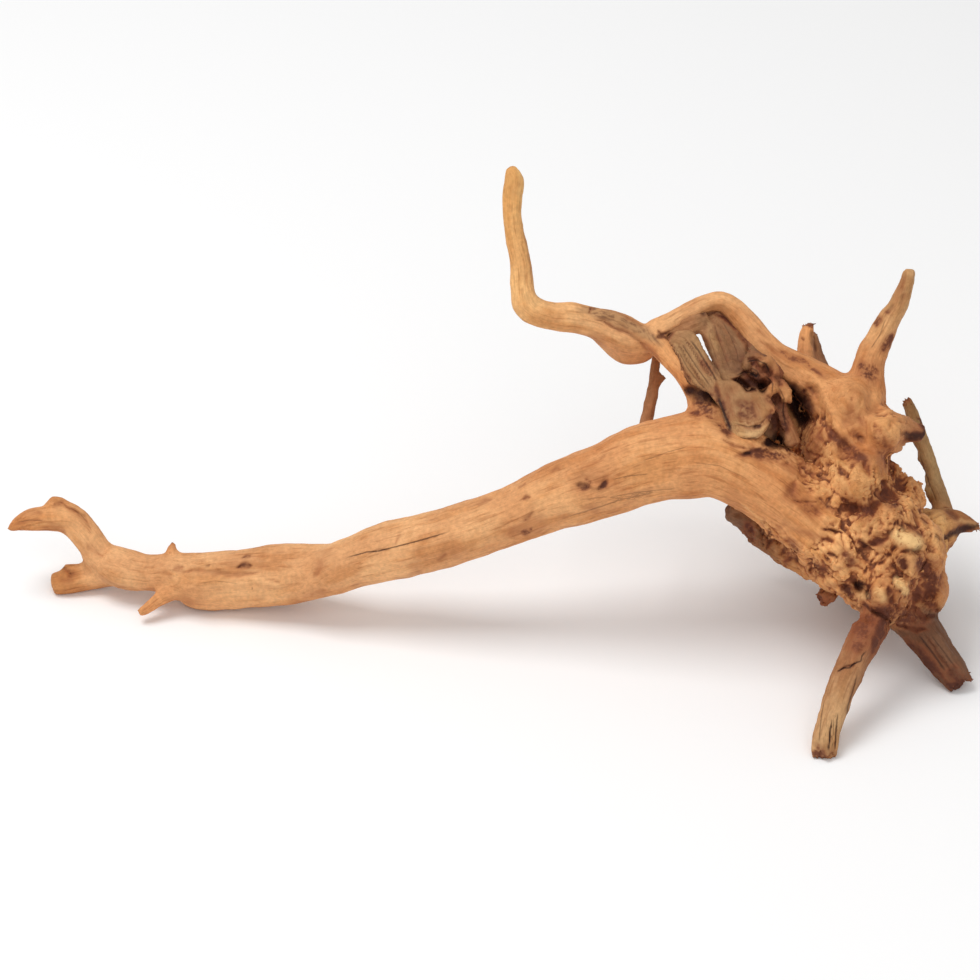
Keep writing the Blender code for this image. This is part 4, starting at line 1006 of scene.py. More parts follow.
class Surface:
    """A mesh's points as arrays, with what the carving needs to know about each of them."""

    def __init__(self, mesh):
        self.mesh = mesh
        self.count = len(mesh.vertices)
        self.places = read(mesh.vertices, "co", 3).astype(float)
        self.edges = read(mesh.edges, "vertices", 2, np.int32)
        self.neighbours = np.bincount(self.edges.ravel(), minlength=self.count)
        self.masks = {name: np.zeros(self.count) for name in STAIN_AND_SHADE_REACH}
        self.shelter = np.zeros(self.count)
        if "shelter" in mesh.attributes:
            self.shelter = read(mesh.attributes["shelter"].data, "value")
        self.look_again()

    def look_again(self):
        """Writes the points to the mesh and works out what follows from them."""
        self.mesh.vertices.foreach_set("co", self.places.astype(np.float32).ravel())
        self.mesh.update()
        self.normals = read(self.mesh.vertex_normals, "vector", 3).astype(float)
        self.plane = to_plane(self.places)
        nearness = VIEW_DISTANCE / (VIEW_DISTANCE - self.plane[:, 2])
        self.frame = self.plane[:, :2] * (nearness / MM_PER_PIXEL)[:, None] * (1, -1) + FRAME_MIDDLE
        self.facing = self.normals @ VIEWER

    def seen(self, depth):
        """Whether each point is the nearest to the viewer in its place, and turned to the viewer."""
        cells = np.floor(self.frame / SEEN_CELL).astype(int)
        cells -= cells.min(0)
        keys = cells[:, 0] * (cells[:, 1].max() + 1) + cells[:, 1]
        nearest = np.full(keys.max() + 1, -np.inf)
        np.maximum.at(nearest, keys, self.plane[:, 2])
        return (self.plane[:, 2] > nearest[keys] - depth) & (self.facing > TURNED_AWAY)

    def eased(self, values, rounds):
        """The values, each drawn towards its neighbours' mean this many times."""
        start, end = self.edges.T
        for _ in range(rounds):
            columns = []
            for column in np.atleast_2d(values.T):
                total = np.bincount(start, column[end], self.count)
                total += np.bincount(end, column[start], self.count)
                columns.append((column + total / self.neighbours) / 2)
            values = columns[0] if values.ndim == 1 else np.stack(columns, -1)
        return values

    def hollowness(self, rounds):
        """How far each point lies below, or above where negative, the eased surface, in millimetres."""
        return ((self.eased(self.places, rounds) - self.places) * self.normals).sum(1)


def burl_share(plane):
    """1 on the burl, 0 on the limbs."""
    across, up = ((plane[:, :2] - BURL_MIDDLE) / BURL_HALF_SIZE).T
    return 1 - smoothstep(*BURL_FADE, np.hypot(across, up))


def shape_lumps(surface):
    """The lumps of the burl, the limbs' faint relief and the hollows on the viewer's side."""
    burl = burl_share(surface.plane)
    rise = np.zeros(surface.count)
    for size, height in zip(LUMP_SIZES, LUMP_HEIGHTS):
        lumps = np.array([noise.noise(Vector(place)) for place in surface.places / size])
        rise += lumps * (height * burl + LIMB_RELIEF * (1 - burl))
    facing = smoothstep(0.0, 0.4, surface.facing)
    depth = np.zeros(surface.count)
    for across, up, half_width, half_height, deep in HOLLOWS:
        far = np.hypot((surface.plane[:, 0] - across) / half_width, (surface.plane[:, 1] - up) / half_height)
        depth += deep * facing * (1 - smoothstep(*HOLLOW_FADE, far))
    surface.places += surface.normals * rise[:, None] - VIEWER * depth[:, None]
    surface.look_again()


def inside(points, corners, margin):
    """Whether each point lies in the box round the corners."""
    return ((points > corners.min(0) - margin) & (points < corners.max(0) + margin)).all(1)


def nearest_on(points, line):
    """For each point its distance to the line, the nearest segment and how far along it, from 0 to 1."""
    best = np.full(len(points), np.inf)
    segment = np.zeros(len(points), int)
    part = np.zeros(len(points))
    for i, length in enumerate(np.linalg.norm(np.diff(line, axis=0), axis=1)):
        step = line[i + 1] - line[i]
        t = np.clip((points - line[i]) @ step / length**2, 0, 1)
        distance = np.linalg.norm(points - line[i] - t[:, None] * step, axis=1)
        closer = distance < best
        best[closer] = distance[closer]
        segment[closer] = i
        part[closer] = t[closer]
    return best, segment, part


def along_limb(surface, limb):
    """For points near a limb: which they are, their place along and across it, their share and its length."""
    path = smooth_stations(limb.stations, GRAIN_STEP)
    middles, _, sides, depths = frames_along(path)
    near = np.flatnonzero(inside(surface.places, middles, path[:, 3].max() + GRAIN_REACH))
    lengths = np.linalg.norm(np.diff(middles, axis=0), axis=1)
    run = np.concatenate([[0], np.cumsum(lengths)])
    places = surface.places[near]
    best, segment, part = nearest_on(places, middles)

    def between(values):
        weight = part if values.ndim == 1 else part[:, None]
        return values[segment] * (1 - weight) + values[segment + 1] * weight

    offset = places - between(middles)
    coordinates = np.stack(
        (between(run), (offset * between(sides)).sum(1), (offset * between(depths)).sum(1)), -1
    )
    outside = np.maximum(0, best - between(path[:, 3]) - GRAIN_SLACK)
    return near, coordinates, np.exp(-((outside / GRAIN_FADE) ** 2)), run[-1]


def lay_grain(surface, limbs, colours):
    """Grain coordinates in three channels with their shares, the grain's ridges and the wood's colour."""
    surface.grain = [np.zeros((surface.count, 3)) for _ in range(3)]
    surface.shares = np.zeros((surface.count, 3))
    total = np.zeros(surface.count)
    tint = np.zeros((surface.count, 3))
    ridges = np.zeros(surface.count)
    surface.broken = np.zeros(surface.count)
    surface.fray = np.zeros((surface.count, 3))
    for limb in limbs:
        near, coordinates, share, length = along_limb(surface, limb)
        stronger = share > surface.shares[near, limb.channel]
        surface.grain[limb.channel][near[stronger]] = coordinates[stronger]
        surface.shares[near[stronger], limb.channel] = share[stronger]
        way = smoothstep(*COLOUR_CHANGE, coordinates[:, 0] / length)[:, None]
        colour = colours[limb.start] * (1 - way) + colours[limb.end] * way
        np.add.at(tint, near, colour * share[:, None])
        np.add.at(total, near, share)
        np.add.at(ridges, near, share * limb.ridges)
        if limb.stations in BROKEN_LIMBS:
            band = [length - before for before in BROKEN_BAND]
            at_end = share * smoothstep(*band, coordinates[:, 0])
            surface.broken[near] = np.maximum(surface.broken[near], at_end)
            last, end = from_plane([station[:3] for station in limb.stations[-2:]])
            surface.fray[near] += at_end[:, None] * (end - last) / np.linalg.norm(end - last)
    rest = np.maximum(0, 1 - total)
    surface.tint = (tint + colours["burl"] * rest[:, None]) / (total + rest)[:, None]
    surface.ridges = ridges / (total + rest)
    surface.shares /= np.maximum(1, surface.shares.sum(1))[:, None]


def grain_noise(surface, along, across, seed):
    """Noise drawn out along the grain."""
    total = np.zeros(surface.count)
    for channel, coordinates in enumerate(surface.grain):
        share = surface.shares[:, channel]
        used = share > 0.01
        stretched = coordinates[used] / (along, across, across)
        total[used] += share[used] * layered_clouds(stretched, 2, seed + 31 * channel)
    return total


def ridged(surface, ridges):
    """How high each point stands on ridges along the grain."""
    return sum(grain_noise(surface, length, width, seed) * height for length, width, seed, height in ridges)


def ridge_limbs(surface):
    """Long ridges and flutes along the grain, faint on smooth limbs and strong on weathered ones."""
    rise = ridged(surface, LIMB_RIDGES)
    surface.places += surface.normals * (rise * surface.ridges)[:, None]
    knots = layered_clouds(surface.places / 5.5, 2, 41)
    weathered = np.clip(surface.ridges - 1.0, 0, 1)
    surface.places += surface.normals * (knots * weathered * 0.5)[:, None]
    ragged = sum(clouds(surface.places / size, seed) * height for size, seed, height in FRAY)
    surface.places += surface.fray * ragged[:, None]
    surface.look_again()


def ridge_heart(surface):
    """The split and weathered grain of the heart."""
    rise = ridged(surface, HEART_RIDGES) * surface.ridges * 0.6
    rise += layered_clouds(surface.places / 3.0, 2, 7) * 0.25
    surface.places += surface.normals * rise[:, None]
    surface.look_again()


def distance_to_line(points, line):
    """Distance of each point to a line of points, and how far along the line that is, from 0 to 1."""
    line = np.array(line, float)
    if len(line) == 1:
        return np.linalg.norm(points - line[0], axis=1), np.full(len(points), 0.5)
    best, segment, part = nearest_on(points, line)
    run = run_of(line)
    return best, run[segment] * (1 - part) + run[segment + 1] * part


def carve_marks(surface, marks, depth=SEEN_DEPTH):
    """Cracks, knots, holes and cut knobs on the viewer's side, with the colours that go with them, and
    painted shadow in recesses and holes.
    """
    cells = surface.places / MARK_WOBBLE_CELL
    ragged = np.stack([layered_clouds(cells, 2, seed) for seed in (51, 56)], -1)
    points = surface.frame + ragged * MARK_WOBBLE
    moves = np.zeros(surface.count)
    seen = surface.seen(depth)
    for mark in marks:
        corners = np.array(mark.points, float)
        margin = MARK_MARGIN * mark.half_width / MM_PER_PIXEL
        near = np.flatnonzero(inside(points, corners, margin) & seen)
        if not len(near):
            continue
        distance, part = distance_to_line(points[near], mark.points)
        middle = 1 if len(corners) < 3 else np.sin(np.pi * part)
        far = distance * MM_PER_PIXEL / (mark.half_width * (0.4 + 0.6 * middle))
        facing = smoothstep(TURNED_AWAY, 0.35, surface.facing[near]) * smoothstep(-0.4, 0.5, middle)
        moves[near] += mark.depth * facing * (1 - smoothstep(0.1, 1.25, far))
        for name, reach in STAIN_AND_SHADE_REACH.items():
            mark_stain_and_shade = getattr(mark, name) * facing * (1 - smoothstep(0.2, reach, far))
            surface.masks[name][near] = np.maximum(surface.masks[name][near], mark_stain_and_shade)
    surface.places -= VIEWER * moves[:, None]
    surface.look_again()


def trace_cracks(surface, cracks, depth=SEEN_DEPTH):
    """For each point the nearest crack: its signed distance, how strong it is there and its half width."""
    surface.cracks = np.tile(NO_CRACK, (surface.count, 1))
    nearest = np.full(surface.count, CRACK_REACH)
    seen = surface.seen(depth)
    for crack in cracks:
        corners = np.array(crack.points, float)
        near = np.flatnonzero(inside(surface.frame, corners, CRACK_MARGIN) & seen)
        if not len(near):
            continue
        points = surface.frame[near]
        distance, part = distance_to_line(points, crack.points)
        distance = distance * MM_PER_PIXEL
        way = place_on(corners, part + CRACK_STEP) - place_on(corners, part - CRACK_STEP)
        offset = points - place_on(corners, part)
        side = np.sign(way[:, 0] * offset[:, 1] - way[:, 1] * offset[:, 0])
        closer = distance < nearest[near]
        chosen = near[closer]
        fade = smoothstep(0, CRACK_FADE, part) * smoothstep(0, CRACK_FADE, 1 - part)
        nearest[chosen] = distance[closer]
        surface.cracks[chosen, 0] = (distance * side)[closer]
        surface.cracks[chosen, 1] = (crack.strength * fade)[closer]
        surface.cracks[chosen, 2] = crack.half_width


def run_of(corners):
    """How far along a line each of its points is, from 0 to 1."""
    lengths = np.linalg.norm(np.diff(corners, axis=0), axis=1)
    return np.concatenate([[0], np.cumsum(lengths)]) / lengths.sum()


def place_on(corners, part):
    """The points that are this far along a line."""
    return np.stack([np.interp(part, run_of(corners), corners[:, axis]) for axis in (0, 1)], -1)


def roughness_in(surface, zones):
    """How rough each point is made by these zones, from 0 to 1."""
    rough = np.zeros(surface.count)
    for across, down, half_width, half_height, amount in zones:
        offset = (surface.frame - (across, down)) / (half_width, half_height)
        far = np.linalg.norm(offset, axis=1)
        rough = np.maximum(rough, amount * (1 - smoothstep(*ZONE_EDGE, far)))
    return rough


def roughness_of_burl(surface):
    """How rough the wood is at each point, all but smooth on the band that runs over the burl."""
    burl = burl_share(surface.plane)
    rough = roughness_in(surface, ROUGH_ZONES)
    distance, _ = distance_to_line(surface.frame, SMOOTH_BAND)
    rough *= smoothstep(*BAND_EDGE, distance * MM_PER_PIXEL / SMOOTH_BAND_HALF_WIDTH)
    rough *= 1 - roughness_in(surface, SMOOTH_ZONES)
    seen = smoothstep(-0.3, 0.2, surface.facing)
    return rough * seen + BACK_ROUGHNESS * burl * (1 - seen)


def roughen(surface, rough):
    """Swells, rounded lumps with creases between them, ridges and small pits, where the wood is rough."""
    surface.rough = rough
    chosen = np.flatnonzero(surface.rough > 0.01)
    places = surface.places[chosen]
    warped = places.copy()
    for size, seed, distance in BURL_WARPS:
        warped += np.stack([clouds(places / size, seed + axis) for axis in range(3)], -1) * distance
    size, seed, height = BURL_SWELL
    rise = clouds(warped / size, seed) * height
    for size, height, seed in BURL_BUMPS:
        rise += (0.3 - pits(warped / size, seed) ** 2) * height
    sizes, seed, height = BURL_CREASES
    rise += (0.2 - np.abs(clouds(warped / sizes, seed))) * height
    size, seed, depth = BURL_HOLES
    holes = 1 - smoothstep(0.08, 0.3, pits(warped / size, seed))
    surface.places[chosen] += surface.normals[chosen] * ((rise - holes * depth) * rough[chosen])[:, None]
    surface.look_again()


def weather(surface):
    """Splits along the grain where the wood is grey, and painted shade, red-brown and patchy, on the
    undersides of the limbs.
    """
    splits = np.abs(grain_noise(surface, *SPLITS)) * 1.2
    splits += layered_clouds(surface.places / 2.5, 2, 92) * 0.5
    surface.places -= surface.normals * (splits * surface.masks["grey"] * 0.6)[:, None]
    # Painted shade: the sides of the limbs that face down are stained red-brown in patches
    below = smoothstep(0.25, 0.9, -(surface.normals @ direction((0, 1, 0))))
    underside_shade = below * smoothstep(-0.1, 0.5, layered_clouds(surface.places / 12, 3, 95))
    surface.masks["red"] = np.maximum(surface.masks["red"], np.maximum(underside_shade * 0.55, surface.broken * 0.9))
    surface.look_again()


def level_underside(surface):
    """Keeps the wood above the ground."""
    surface.places[:, 2] = np.maximum(surface.places[:, 2], 0)
    surface.look_again()


def store(mesh, name, values):
    """Leaves values on the mesh's points, as an attribute of this name."""
    attribute = mesh.attributes.new(name, "FLOAT_VECTOR" if values.ndim == 2 else "FLOAT", "POINT")
    attribute.data.foreach_set("vector" if values.ndim == 2 else "value", values.astype(np.float32).ravel())


def store_all(surface):
    """Leaves on the mesh all that the materials read."""
    cavity = sum(surface.hollowness(rounds) * weight for rounds, weight in HOLLOW_LOOKS)
    rounds, weight = DEEP_LOOK
    cavity += surface.hollowness(rounds) * weight * surface.rough
    store(surface.mesh, "tint", surface.tint)
    for channel in range(3):
        store(surface.mesh, f"grain_{channel}", surface.grain[channel])
    store(surface.mesh, "grain_shares", surface.shares)
    store(surface.mesh, "relief", np.stack((cavity, surface.rough, surface.shelter), -1))
    masks = surface.masks
    store(surface.mesh, "stains", np.stack((masks["dark"], masks["red"], masks["grey"]), -1))
    store(surface.mesh, "pale", masks["pale"])
    off_ground = smoothstep(*OFF_GROUND, surface.places[:, 2])
    store(surface.mesh, "broken", surface.broken * off_ground)
    unstained = 1 - np.maximum(masks["dark"], masks["red"])
    store(surface.mesh, "crumbly", smoothstep(*CRUMBLY, surface.rough) * off_ground * unstained)
    store(surface.mesh, "cracks", surface.cracks)


def piece_from(skin, name, faces):
    """A new object from some faces of the skin, closed where it was parted, with the skin's own normals."""
    corners = read(skin.loops, "vertex_index", kind=np.int32).reshape(-1, 4)[faces]
    used, corners = np.unique(corners, return_inverse=True)
    corners = corners.reshape(-1, 4)
    places = read(skin.vertices, "co", 3)[used].astype(float)
    normals = read(skin.vertex_normals, "vector", 3)[used]
    ends = np.concatenate([corners[:, [k, (k + 1) % 4]] for k in range(4)])
    forward = {(int(a), int(b)) for a, b in ends}
    onwards = {b: a for a, b in forward if (b, a) not in forward}
    caps = []
    centres = []
    while onwards:
        start = next(iter(onwards))
        loop = [start]
        while (following := onwards.pop(loop[-1])) != start:
            loop.append(following)
        centre = len(places) + len(centres)
        centres.append(places[loop].mean(0))
        caps += [(loop[i], loop[(i + 1) % len(loop)], centre) for i in range(len(loop))]
    places = np.vstack([places, *centres]) if centres else places
    normals = np.vstack([normals, *[(0, 0, 1)] * len(centres)]) if centres else normals
    mesh = bpy.data.meshes.new(name)
    shift = np.array((-ORIGIN_ACROSS, -ORIGIN_BEHIND, 0))
    mesh.from_pydata(((places + shift) * MM).tolist(), [], corners.tolist() + caps)
    for attribute in skin.attributes:
        if attribute.domain == "POINT" and attribute.name in STORED:
            key, width = ("vector", 3) if attribute.data_type == "FLOAT_VECTOR" else ("value", 1)
            values = read(attribute.data, key, width)[used]
            blank = np.zeros((len(centres), *values.shape[1:]))
            store(mesh, attribute.name, np.concatenate([values, blank]))
    mesh.polygons.foreach_set("use_smooth", np.ones(len(mesh.polygons), bool))
    mesh.normals_split_custom_set_from_vertices(normals.tolist())
    mesh.update()
    return add_object(name, mesh)


def skin_piece(name, wood, slot):
    """One length of wood from the skin, standing for the CAD node of its name."""
    skin = bpy.data.meshes[SKIN]
    numbers = read(skin.polygons, "material_index", kind=np.int32)
    piece = piece_from(skin, name + "_wood", np.flatnonzero(numbers == list(PIECES).index(name)))
    finish_piece(piece, wood, slot, name)
    return piece


def finish_piece(piece, wood, slot, *nodes):
    """Gives a piece its wood, its body and the CAD nodes that it stands for. The slot is not used."""
    piece.data.materials.clear()
    piece.data.materials.append(wood)
    if nodes:
        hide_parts(*nodes)
    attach(piece, BODY)


# Materials

# Share of the hollow colour in the deepest hollows: painted shade with red-brown stain
HOLLOW_SHADE_AND_STAIN = 0.8
WOOD_SHINE = 0.3
BUMP_DEPTH = 0.5 * MM


class Socket:
    """A value flowing through a node tree. Python's operators on it add Math nodes."""

    def __init__(self, graph, socket):
        self.graph = graph
        self.socket = socket

    def maths(self, operation, first, second):
        return self.graph.node("ShaderNodeMath", {"operation": operation}, {0: first, 1: second})

    def __add__(self, other):
        return self.maths("ADD", self, other)

    def __sub__(self, other):
        return self.maths("SUBTRACT", self, other)

    def __abs__(self):
        return self.graph.node("ShaderNodeMath", {"operation": "ABSOLUTE"}, {0: self})

    def __truediv__(self, other):
        return self.maths("DIVIDE", self, other)

    def __rsub__(self, other):
        return self.maths("SUBTRACT", other, self)

    def __mul__(self, other):
        return self.maths("MULTIPLY", self, other)

    __radd__ = __add__
    __rmul__ = __mul__


class Graph:
    """A node tree that is built up a node at a time."""

    def __init__(self, tree):
        self.tree = tree

    def node(self, kind, settings=None, inputs=None, output=0):
        """Adds a node: its type, its settings, then the values or links of its sockets."""
        made = self.tree.nodes.new(kind)
        for name, value in (settings or {}).items():
            setattr(made, name, value)
        for key, value in (inputs or {}).items():
            if isinstance(value, Socket):
                self.tree.links.new(value.socket, made.inputs[key])
            else:
                made.inputs[key].default_value = value
        return Socket(self, made.outputs[output])

    def vector(self, operation, inputs):
        return self.node("ShaderNodeVectorMath", {"operation": operation}, inputs)

    def attribute(self, name, output="Vector"):
        return self.node("ShaderNodeAttribute", {"attribute_name": name}, output=output)

    def parts(self, vector):
        """The three numbers of a vector."""
        split = self.node("ShaderNodeSeparateXYZ", inputs={0: vector})
        outputs = split.socket.node.outputs
        return [Socket(self, outputs[i]) for i in range(3)]

    def mix(self, share, first, second, kind="MIX"):
        """Two colours mixed, the second by this share."""
        settings = {"data_type": "RGBA", "blend_type": kind, "clamp_factor": True}
        return self.node("ShaderNodeMix", settings, {0: share, 6: first, 7: second}, 2)

    def rise(self, value, low, high):
        """0 below low, 1 above high, smooth between."""
        return self.node(
            "ShaderNodeMapRange", {"interpolation_type": "SMOOTHSTEP"},
            {"Value": value, "From Min": low, "From Max": high, "To Min": 0.0, "To Max": 1.0},
        )

    def cloud(self, vector, detail=2.0, rough=0.55, distortion=0.0):
        """Noise from 0 to 1 at a vector counted in cells."""
        return self.node(
            "ShaderNodeTexNoise", {"noise_dimensions": "3D"},
            {"Vector": vector, "Scale": 1.0, "Detail": detail, "Roughness": rough, "Distortion": distortion},
        )

    def stretched(self, vector, scale, shift=0.0):
        """A vector with each part scaled and shifted."""
        return self.vector("MULTIPLY_ADD", {0: vector, 1: scale, 2: (shift, shift, shift)})


class Wood(Graph):
    """The finish of one kind of wood."""

    def __init__(self, name, colours):
        self.colours = colours
        self.material = bpy.data.materials.new(name)
        self.material.use_nodes = True
        super().__init__(self.material.node_tree)
        self.shader = self.tree.nodes["Principled BSDF"]
        self.place = self.node("ShaderNodeTexCoord", output="Object")
        self.grain = [self.attribute(f"grain_{channel}") for channel in range(3)]
        self.shares = self.parts(self.attribute("grain_shares"))
        self.rest = 1 - (self.shares[0] + self.shares[1] + self.shares[2])

    def lumps(self, size, detail=2.0, shift=0.0, distortion=0.0):
        """Noise of the size in millimetres, the same in all directions."""
        scale = 1 / (size * MM)
        vector = self.stretched(self.place, (scale, scale, scale), shift)
        return self.cloud(vector, detail, distortion=distortion)

    def fibres(self, along, across, detail=2.0, shift=0.0):
        """Noise drawn out along the grain of the limbs, of these sizes in millimetres, wound on the burl."""
        scale = (1 / along, 1 / across, 1 / across)
        total = self.lumps(across * 2.6, detail, shift, 2.0) * self.rest
        for channel in range(3):
            streaks = self.cloud(self.stretched(self.grain[channel], scale, shift + 7.3 * channel), detail)
            total = total + streaks * self.shares[channel]
        return total

    def tinted(self, share, colour, name, against="tan"):
        """The colour changed by this share as the second named colour would have to be to give the first."""
        ratio = tuple(new / old for new, old in zip(self.colours[name], self.colours[against]))
        return self.mix(share, colour, ratio, "MULTIPLY")


def make_wood(name, colours, grain_bump):
    """Wood with streaks and fine fibres, painted shade and red-brown stain in hollows and closed-in places,
    rubbed crests, cracks, stains and painted shadows.
    """
    wood = Wood(name, colours)
    cavity, rough, shelter = wood.parts(wood.attribute("relief"))
    dark, red, grey = wood.parts(wood.attribute("stains"))
    pale = wood.attribute("pale", "Fac")
    distance, strength, half_width = wood.parts(wood.attribute("cracks"))
    broad = wood.lumps(26, 3, 1.0)
    blotches = wood.lumps(8, 4, 5.0)
    specks = wood.lumps(1.6, 3, 3.0)
    patches = wood.fibres(32, 7.0, 3, 2.0)
    streaks = wood.fibres(15, 1.3, 3, 9.0)
    fibres = wood.fibres(8, 0.5, 2, 14.0)

    colour = wood.attribute("tint")
    for pattern, low, high, share, tint in (
        (broad, 0.38, 0.64, 0.7, "light"), (patches, 0.46, 0.64, 0.7, "streak"),
        (streaks, 0.54, 0.70, 0.5, "line"), (fibres, 0.58, 0.72, 0.3, "umber"),
        (blotches, 0.52, 0.72, 0.35, "streak"),
    ):
        colour = wood.tinted(wood.rise(pattern, low, high) * share, colour, tint)
    shade = wood.rise(fibres, 0.25, 0.75) * 0.2 + 0.92
    shade = shade * (wood.rise(specks, 0.25, 0.75) * 0.24 + 0.91)
    grey_of_shade = wood.node("ShaderNodeCombineColor", inputs={0: shade, 1: shade, 2: shade})
    colour = wood.mix(1.0, colour, grey_of_shade, "MULTIPLY")
    weathered = wood.mix(wood.rise(streaks, 0.44, 0.66) * 0.8, colours["drab"], colours["bark"])
    colour = wood.mix(grey, colour, weathered)

    mottled = (blotches - 0.5) * (rough * 1.1 + 0.25) + (specks - 0.5) * (rough * 0.6 + 0.15)
    depth = cavity + mottled * 0.8
    colour = wood.tinted(wood.rise(0 - depth, 0.05, 0.7) * rough * 0.55, colour, "crest", "burl")
    # Painted shade, with red-brown stain, in the hollows: the deeper a point lies below the eased surface,
    # the more it takes of the umber and hollow colours
    colour = wood.tinted(wood.rise(depth, -0.1, 0.5) * (rough * 0.5 + 0.25), colour, "umber")
    colour = wood.mix(wood.rise(depth, 0.35, 1.4) * HOLLOW_SHADE_AND_STAIN, colour, colours["hollow"])
    # Red-brown stains, together with the painted shade that the marks and the undersides of the limbs put in
    # the red mask
    stains_with_shade = red * wood.rise(specks * 0.5 + blotches * 0.8, 0.38, 0.76)
    colour = wood.mix(stains_with_shade * 0.9, colour, colours["rust"])
    colour = wood.mix(wood.rise(stains_with_shade, 0.5, 1.0) * 0.85, colour, colours["hollow"])
    # Painted shade: the hollow colour laid where the wood is closed in by the wood around it
    colour = wood.mix(wood.rise(shelter + mottled * 0.2, 0.35, 0.95) * 0.75, colour, colours["hollow"])
    colour = wood.mix(pale * wood.rise(specks, 0.25, 0.5) * 0.85, colour, colours["pale"])
    jagged = abs(distance + (specks - 0.5) * 0.5)
    crack = (1 - wood.rise(jagged / half_width, 0.5, 1.5)) * strength
    shaded = dark * wood.rise(specks + dark * 0.3, 0.2, 0.55) * 0.9
    colour = wood.mix(shaded + crack * 0.75, colour, colours["dark"])
    wood.tree.links.new(colour.socket, wood.shader.inputs["Base Color"])

    gloss = 0.80 - wood.rise(fibres, 0.3, 0.7) * 0.12
    wood.tree.links.new(gloss.socket, wood.shader.inputs["Roughness"])
    wood.shader.inputs["Specular IOR Level"].default_value = WOOD_SHINE
    height = fibres * 0.6 + streaks * 0.5 + specks * (rough * 1.2 + 0.2) - crack * 1.5
    bump = wood.node(
        "ShaderNodeBump", inputs={"Strength": grain_bump, "Distance": BUMP_DEPTH, "Height": height}
    )
    wood.tree.links.new(bump.socket, wood.shader.inputs["Normal"])
    return wood.material


# Small things set over the wood by Geometry Nodes

SCATTER_INPUTS = {
    "Wood": "NodeSocketGeometry", "Mask": "NodeSocketString", "Density": "NodeSocketFloat",
    "Thickness": "NodeSocketFloat", "Length": "NodeSocketFloat", "Spread": "NodeSocketFloat",
    "Seed": "NodeSocketInt", "Material": "NodeSocketMaterial",
}


class Scatter(Graph):
    """Geometry nodes that stand small shapes on a mesh, where its mask attribute is above nothing."""

    def __init__(self, name):
        super().__init__(bpy.data.node_groups.new(name, "GeometryNodeTree"))
        face = self.tree.interface
        self.keys = {
            label: face.new_socket(label, in_out="INPUT", socket_type=kind).identifier
            for label, kind in SCATTER_INPUTS.items()
        }
        face.new_socket("Pieces", in_out="OUTPUT", socket_type="NodeSocketGeometry")
        group = self.tree.nodes.new("NodeGroupInput")
        self.given = {label: Socket(self, group.outputs[label]) for label in SCATTER_INPUTS}

    def spread(self, low, high, shift):
        """A random vector for each shape."""
        return self.node(
            "FunctionNodeRandomValue", {"data_type": "FLOAT_VECTOR"},
            {0: low, 1: high, "Seed": self.given["Seed"] + shift},
        )

    def finish(self, shape):
        """Stands the shape on the points, then bends each copy a little its own way."""
        given = self.given
        mask = self.node("GeometryNodeInputNamedAttribute", {"data_type": "FLOAT"}, {"Name": given["Mask"]})
        points = self.node(
            "GeometryNodeDistributePointsOnFaces", {},
            {"Mesh": given["Wood"], "Density": mask * given["Density"], "Seed": given["Seed"]},
        )
        normal = Socket(self, points.socket.node.outputs["Normal"])
        ways = self.spread((-1, -1, -1), (1, 1, 1), 1)
        lean = self.vector("SCALE", {0: ways, "Scale": given["Spread"]})
        way = self.vector("ADD", {0: normal, 1: lean})
        turn = self.node("FunctionNodeAlignRotationToVector", {"axis": "Z"}, {"Vector": way})
        copies = self.node(
            "GeometryNodeInstanceOnPoints", {},
            {"Points": points, "Instance": shape, "Rotation": turn,
             "Scale": self.spread((0.5, 0.5, 0.4), (1.4, 1.4, 1.3), 2)},
        )
        joined = self.node("GeometryNodeRealizeInstances", {}, {0: copies})
        place = self.node("GeometryNodeInputPosition")
        warp = self.node(
            "ShaderNodeTexNoise", {"noise_dimensions": "3D"},
            {"Vector": place, "Scale": 0.7 / MM, "Detail": 1.0}, "Color",
        )
        centred = self.vector("SUBTRACT", {0: warp, 1: (0.5, 0.5, 0.5)})
        offset = self.vector("SCALE", {0: centred, "Scale": given["Thickness"] * 1.2})
        bent = self.node("GeometryNodeSetPosition", {}, {"Geometry": joined, "Offset": offset})
        smooth = self.node("GeometryNodeSetShadeSmooth", {}, {"Geometry": bent})
        finished = {"Geometry": smooth, "Material": given["Material"]}
        dressed = self.node("GeometryNodeSetMaterial", {}, finished)
        out = self.tree.nodes.new("NodeGroupOutput")
        self.tree.links.new(dressed.socket, out.inputs[0])
        return self


def crumb_tree():
    """Rounded crumbs, sunk halfway into the wood."""
    scatter = Scatter("crumbs")
    ball = scatter.node(
        "GeometryNodeMeshIcoSphere", {}, {"Radius": scatter.given["Thickness"], "Subdivisions": 2}
    )
    return scatter.finish(ball)


def splinter_tree():
    """Thin splinters that stand out of broken wood."""
    scatter = Scatter("splinters")
    cone = scatter.node(
        "GeometryNodeMeshCone", {},
        {"Vertices": 5, "Radius Top": scatter.given["Thickness"] * 0.25,
         "Radius Bottom": scatter.given["Thickness"], "Depth": scatter.given["Length"]},
    )
    sunk = scatter.node("ShaderNodeCombineXYZ", {}, {2: scatter.given["Length"] * -0.35})
    lowered = scatter.node("GeometryNodeTransform", {}, {"Geometry": cone, "Translation": sunk})
    return scatter.finish(lowered)


def scatter_on(source, scatter, name, slot, **values):
    """A new piece: the small shapes that the tree sets over this object's mesh."""
    carrier = add_object(name, source.data)
    modifier = carrier.modifiers.new("scatter", "NODES")
    modifier.node_group = scatter.tree
    values["Material"] = source.data.materials[0]
    for label, value in values.items():
        modifier[scatter.keys[label]] = value
    graph = bpy.context.evaluated_depsgraph_get()
    mesh = bpy.data.meshes.new_from_object(carrier.evaluated_get(graph))
    carrier.modifiers.clear()
    carrier.data = mesh
    finish_piece(carrier, values["Material"], slot)
    if not mesh.polygons:
        raise RuntimeError(f"nothing was set on {source.name}")
    return carrier


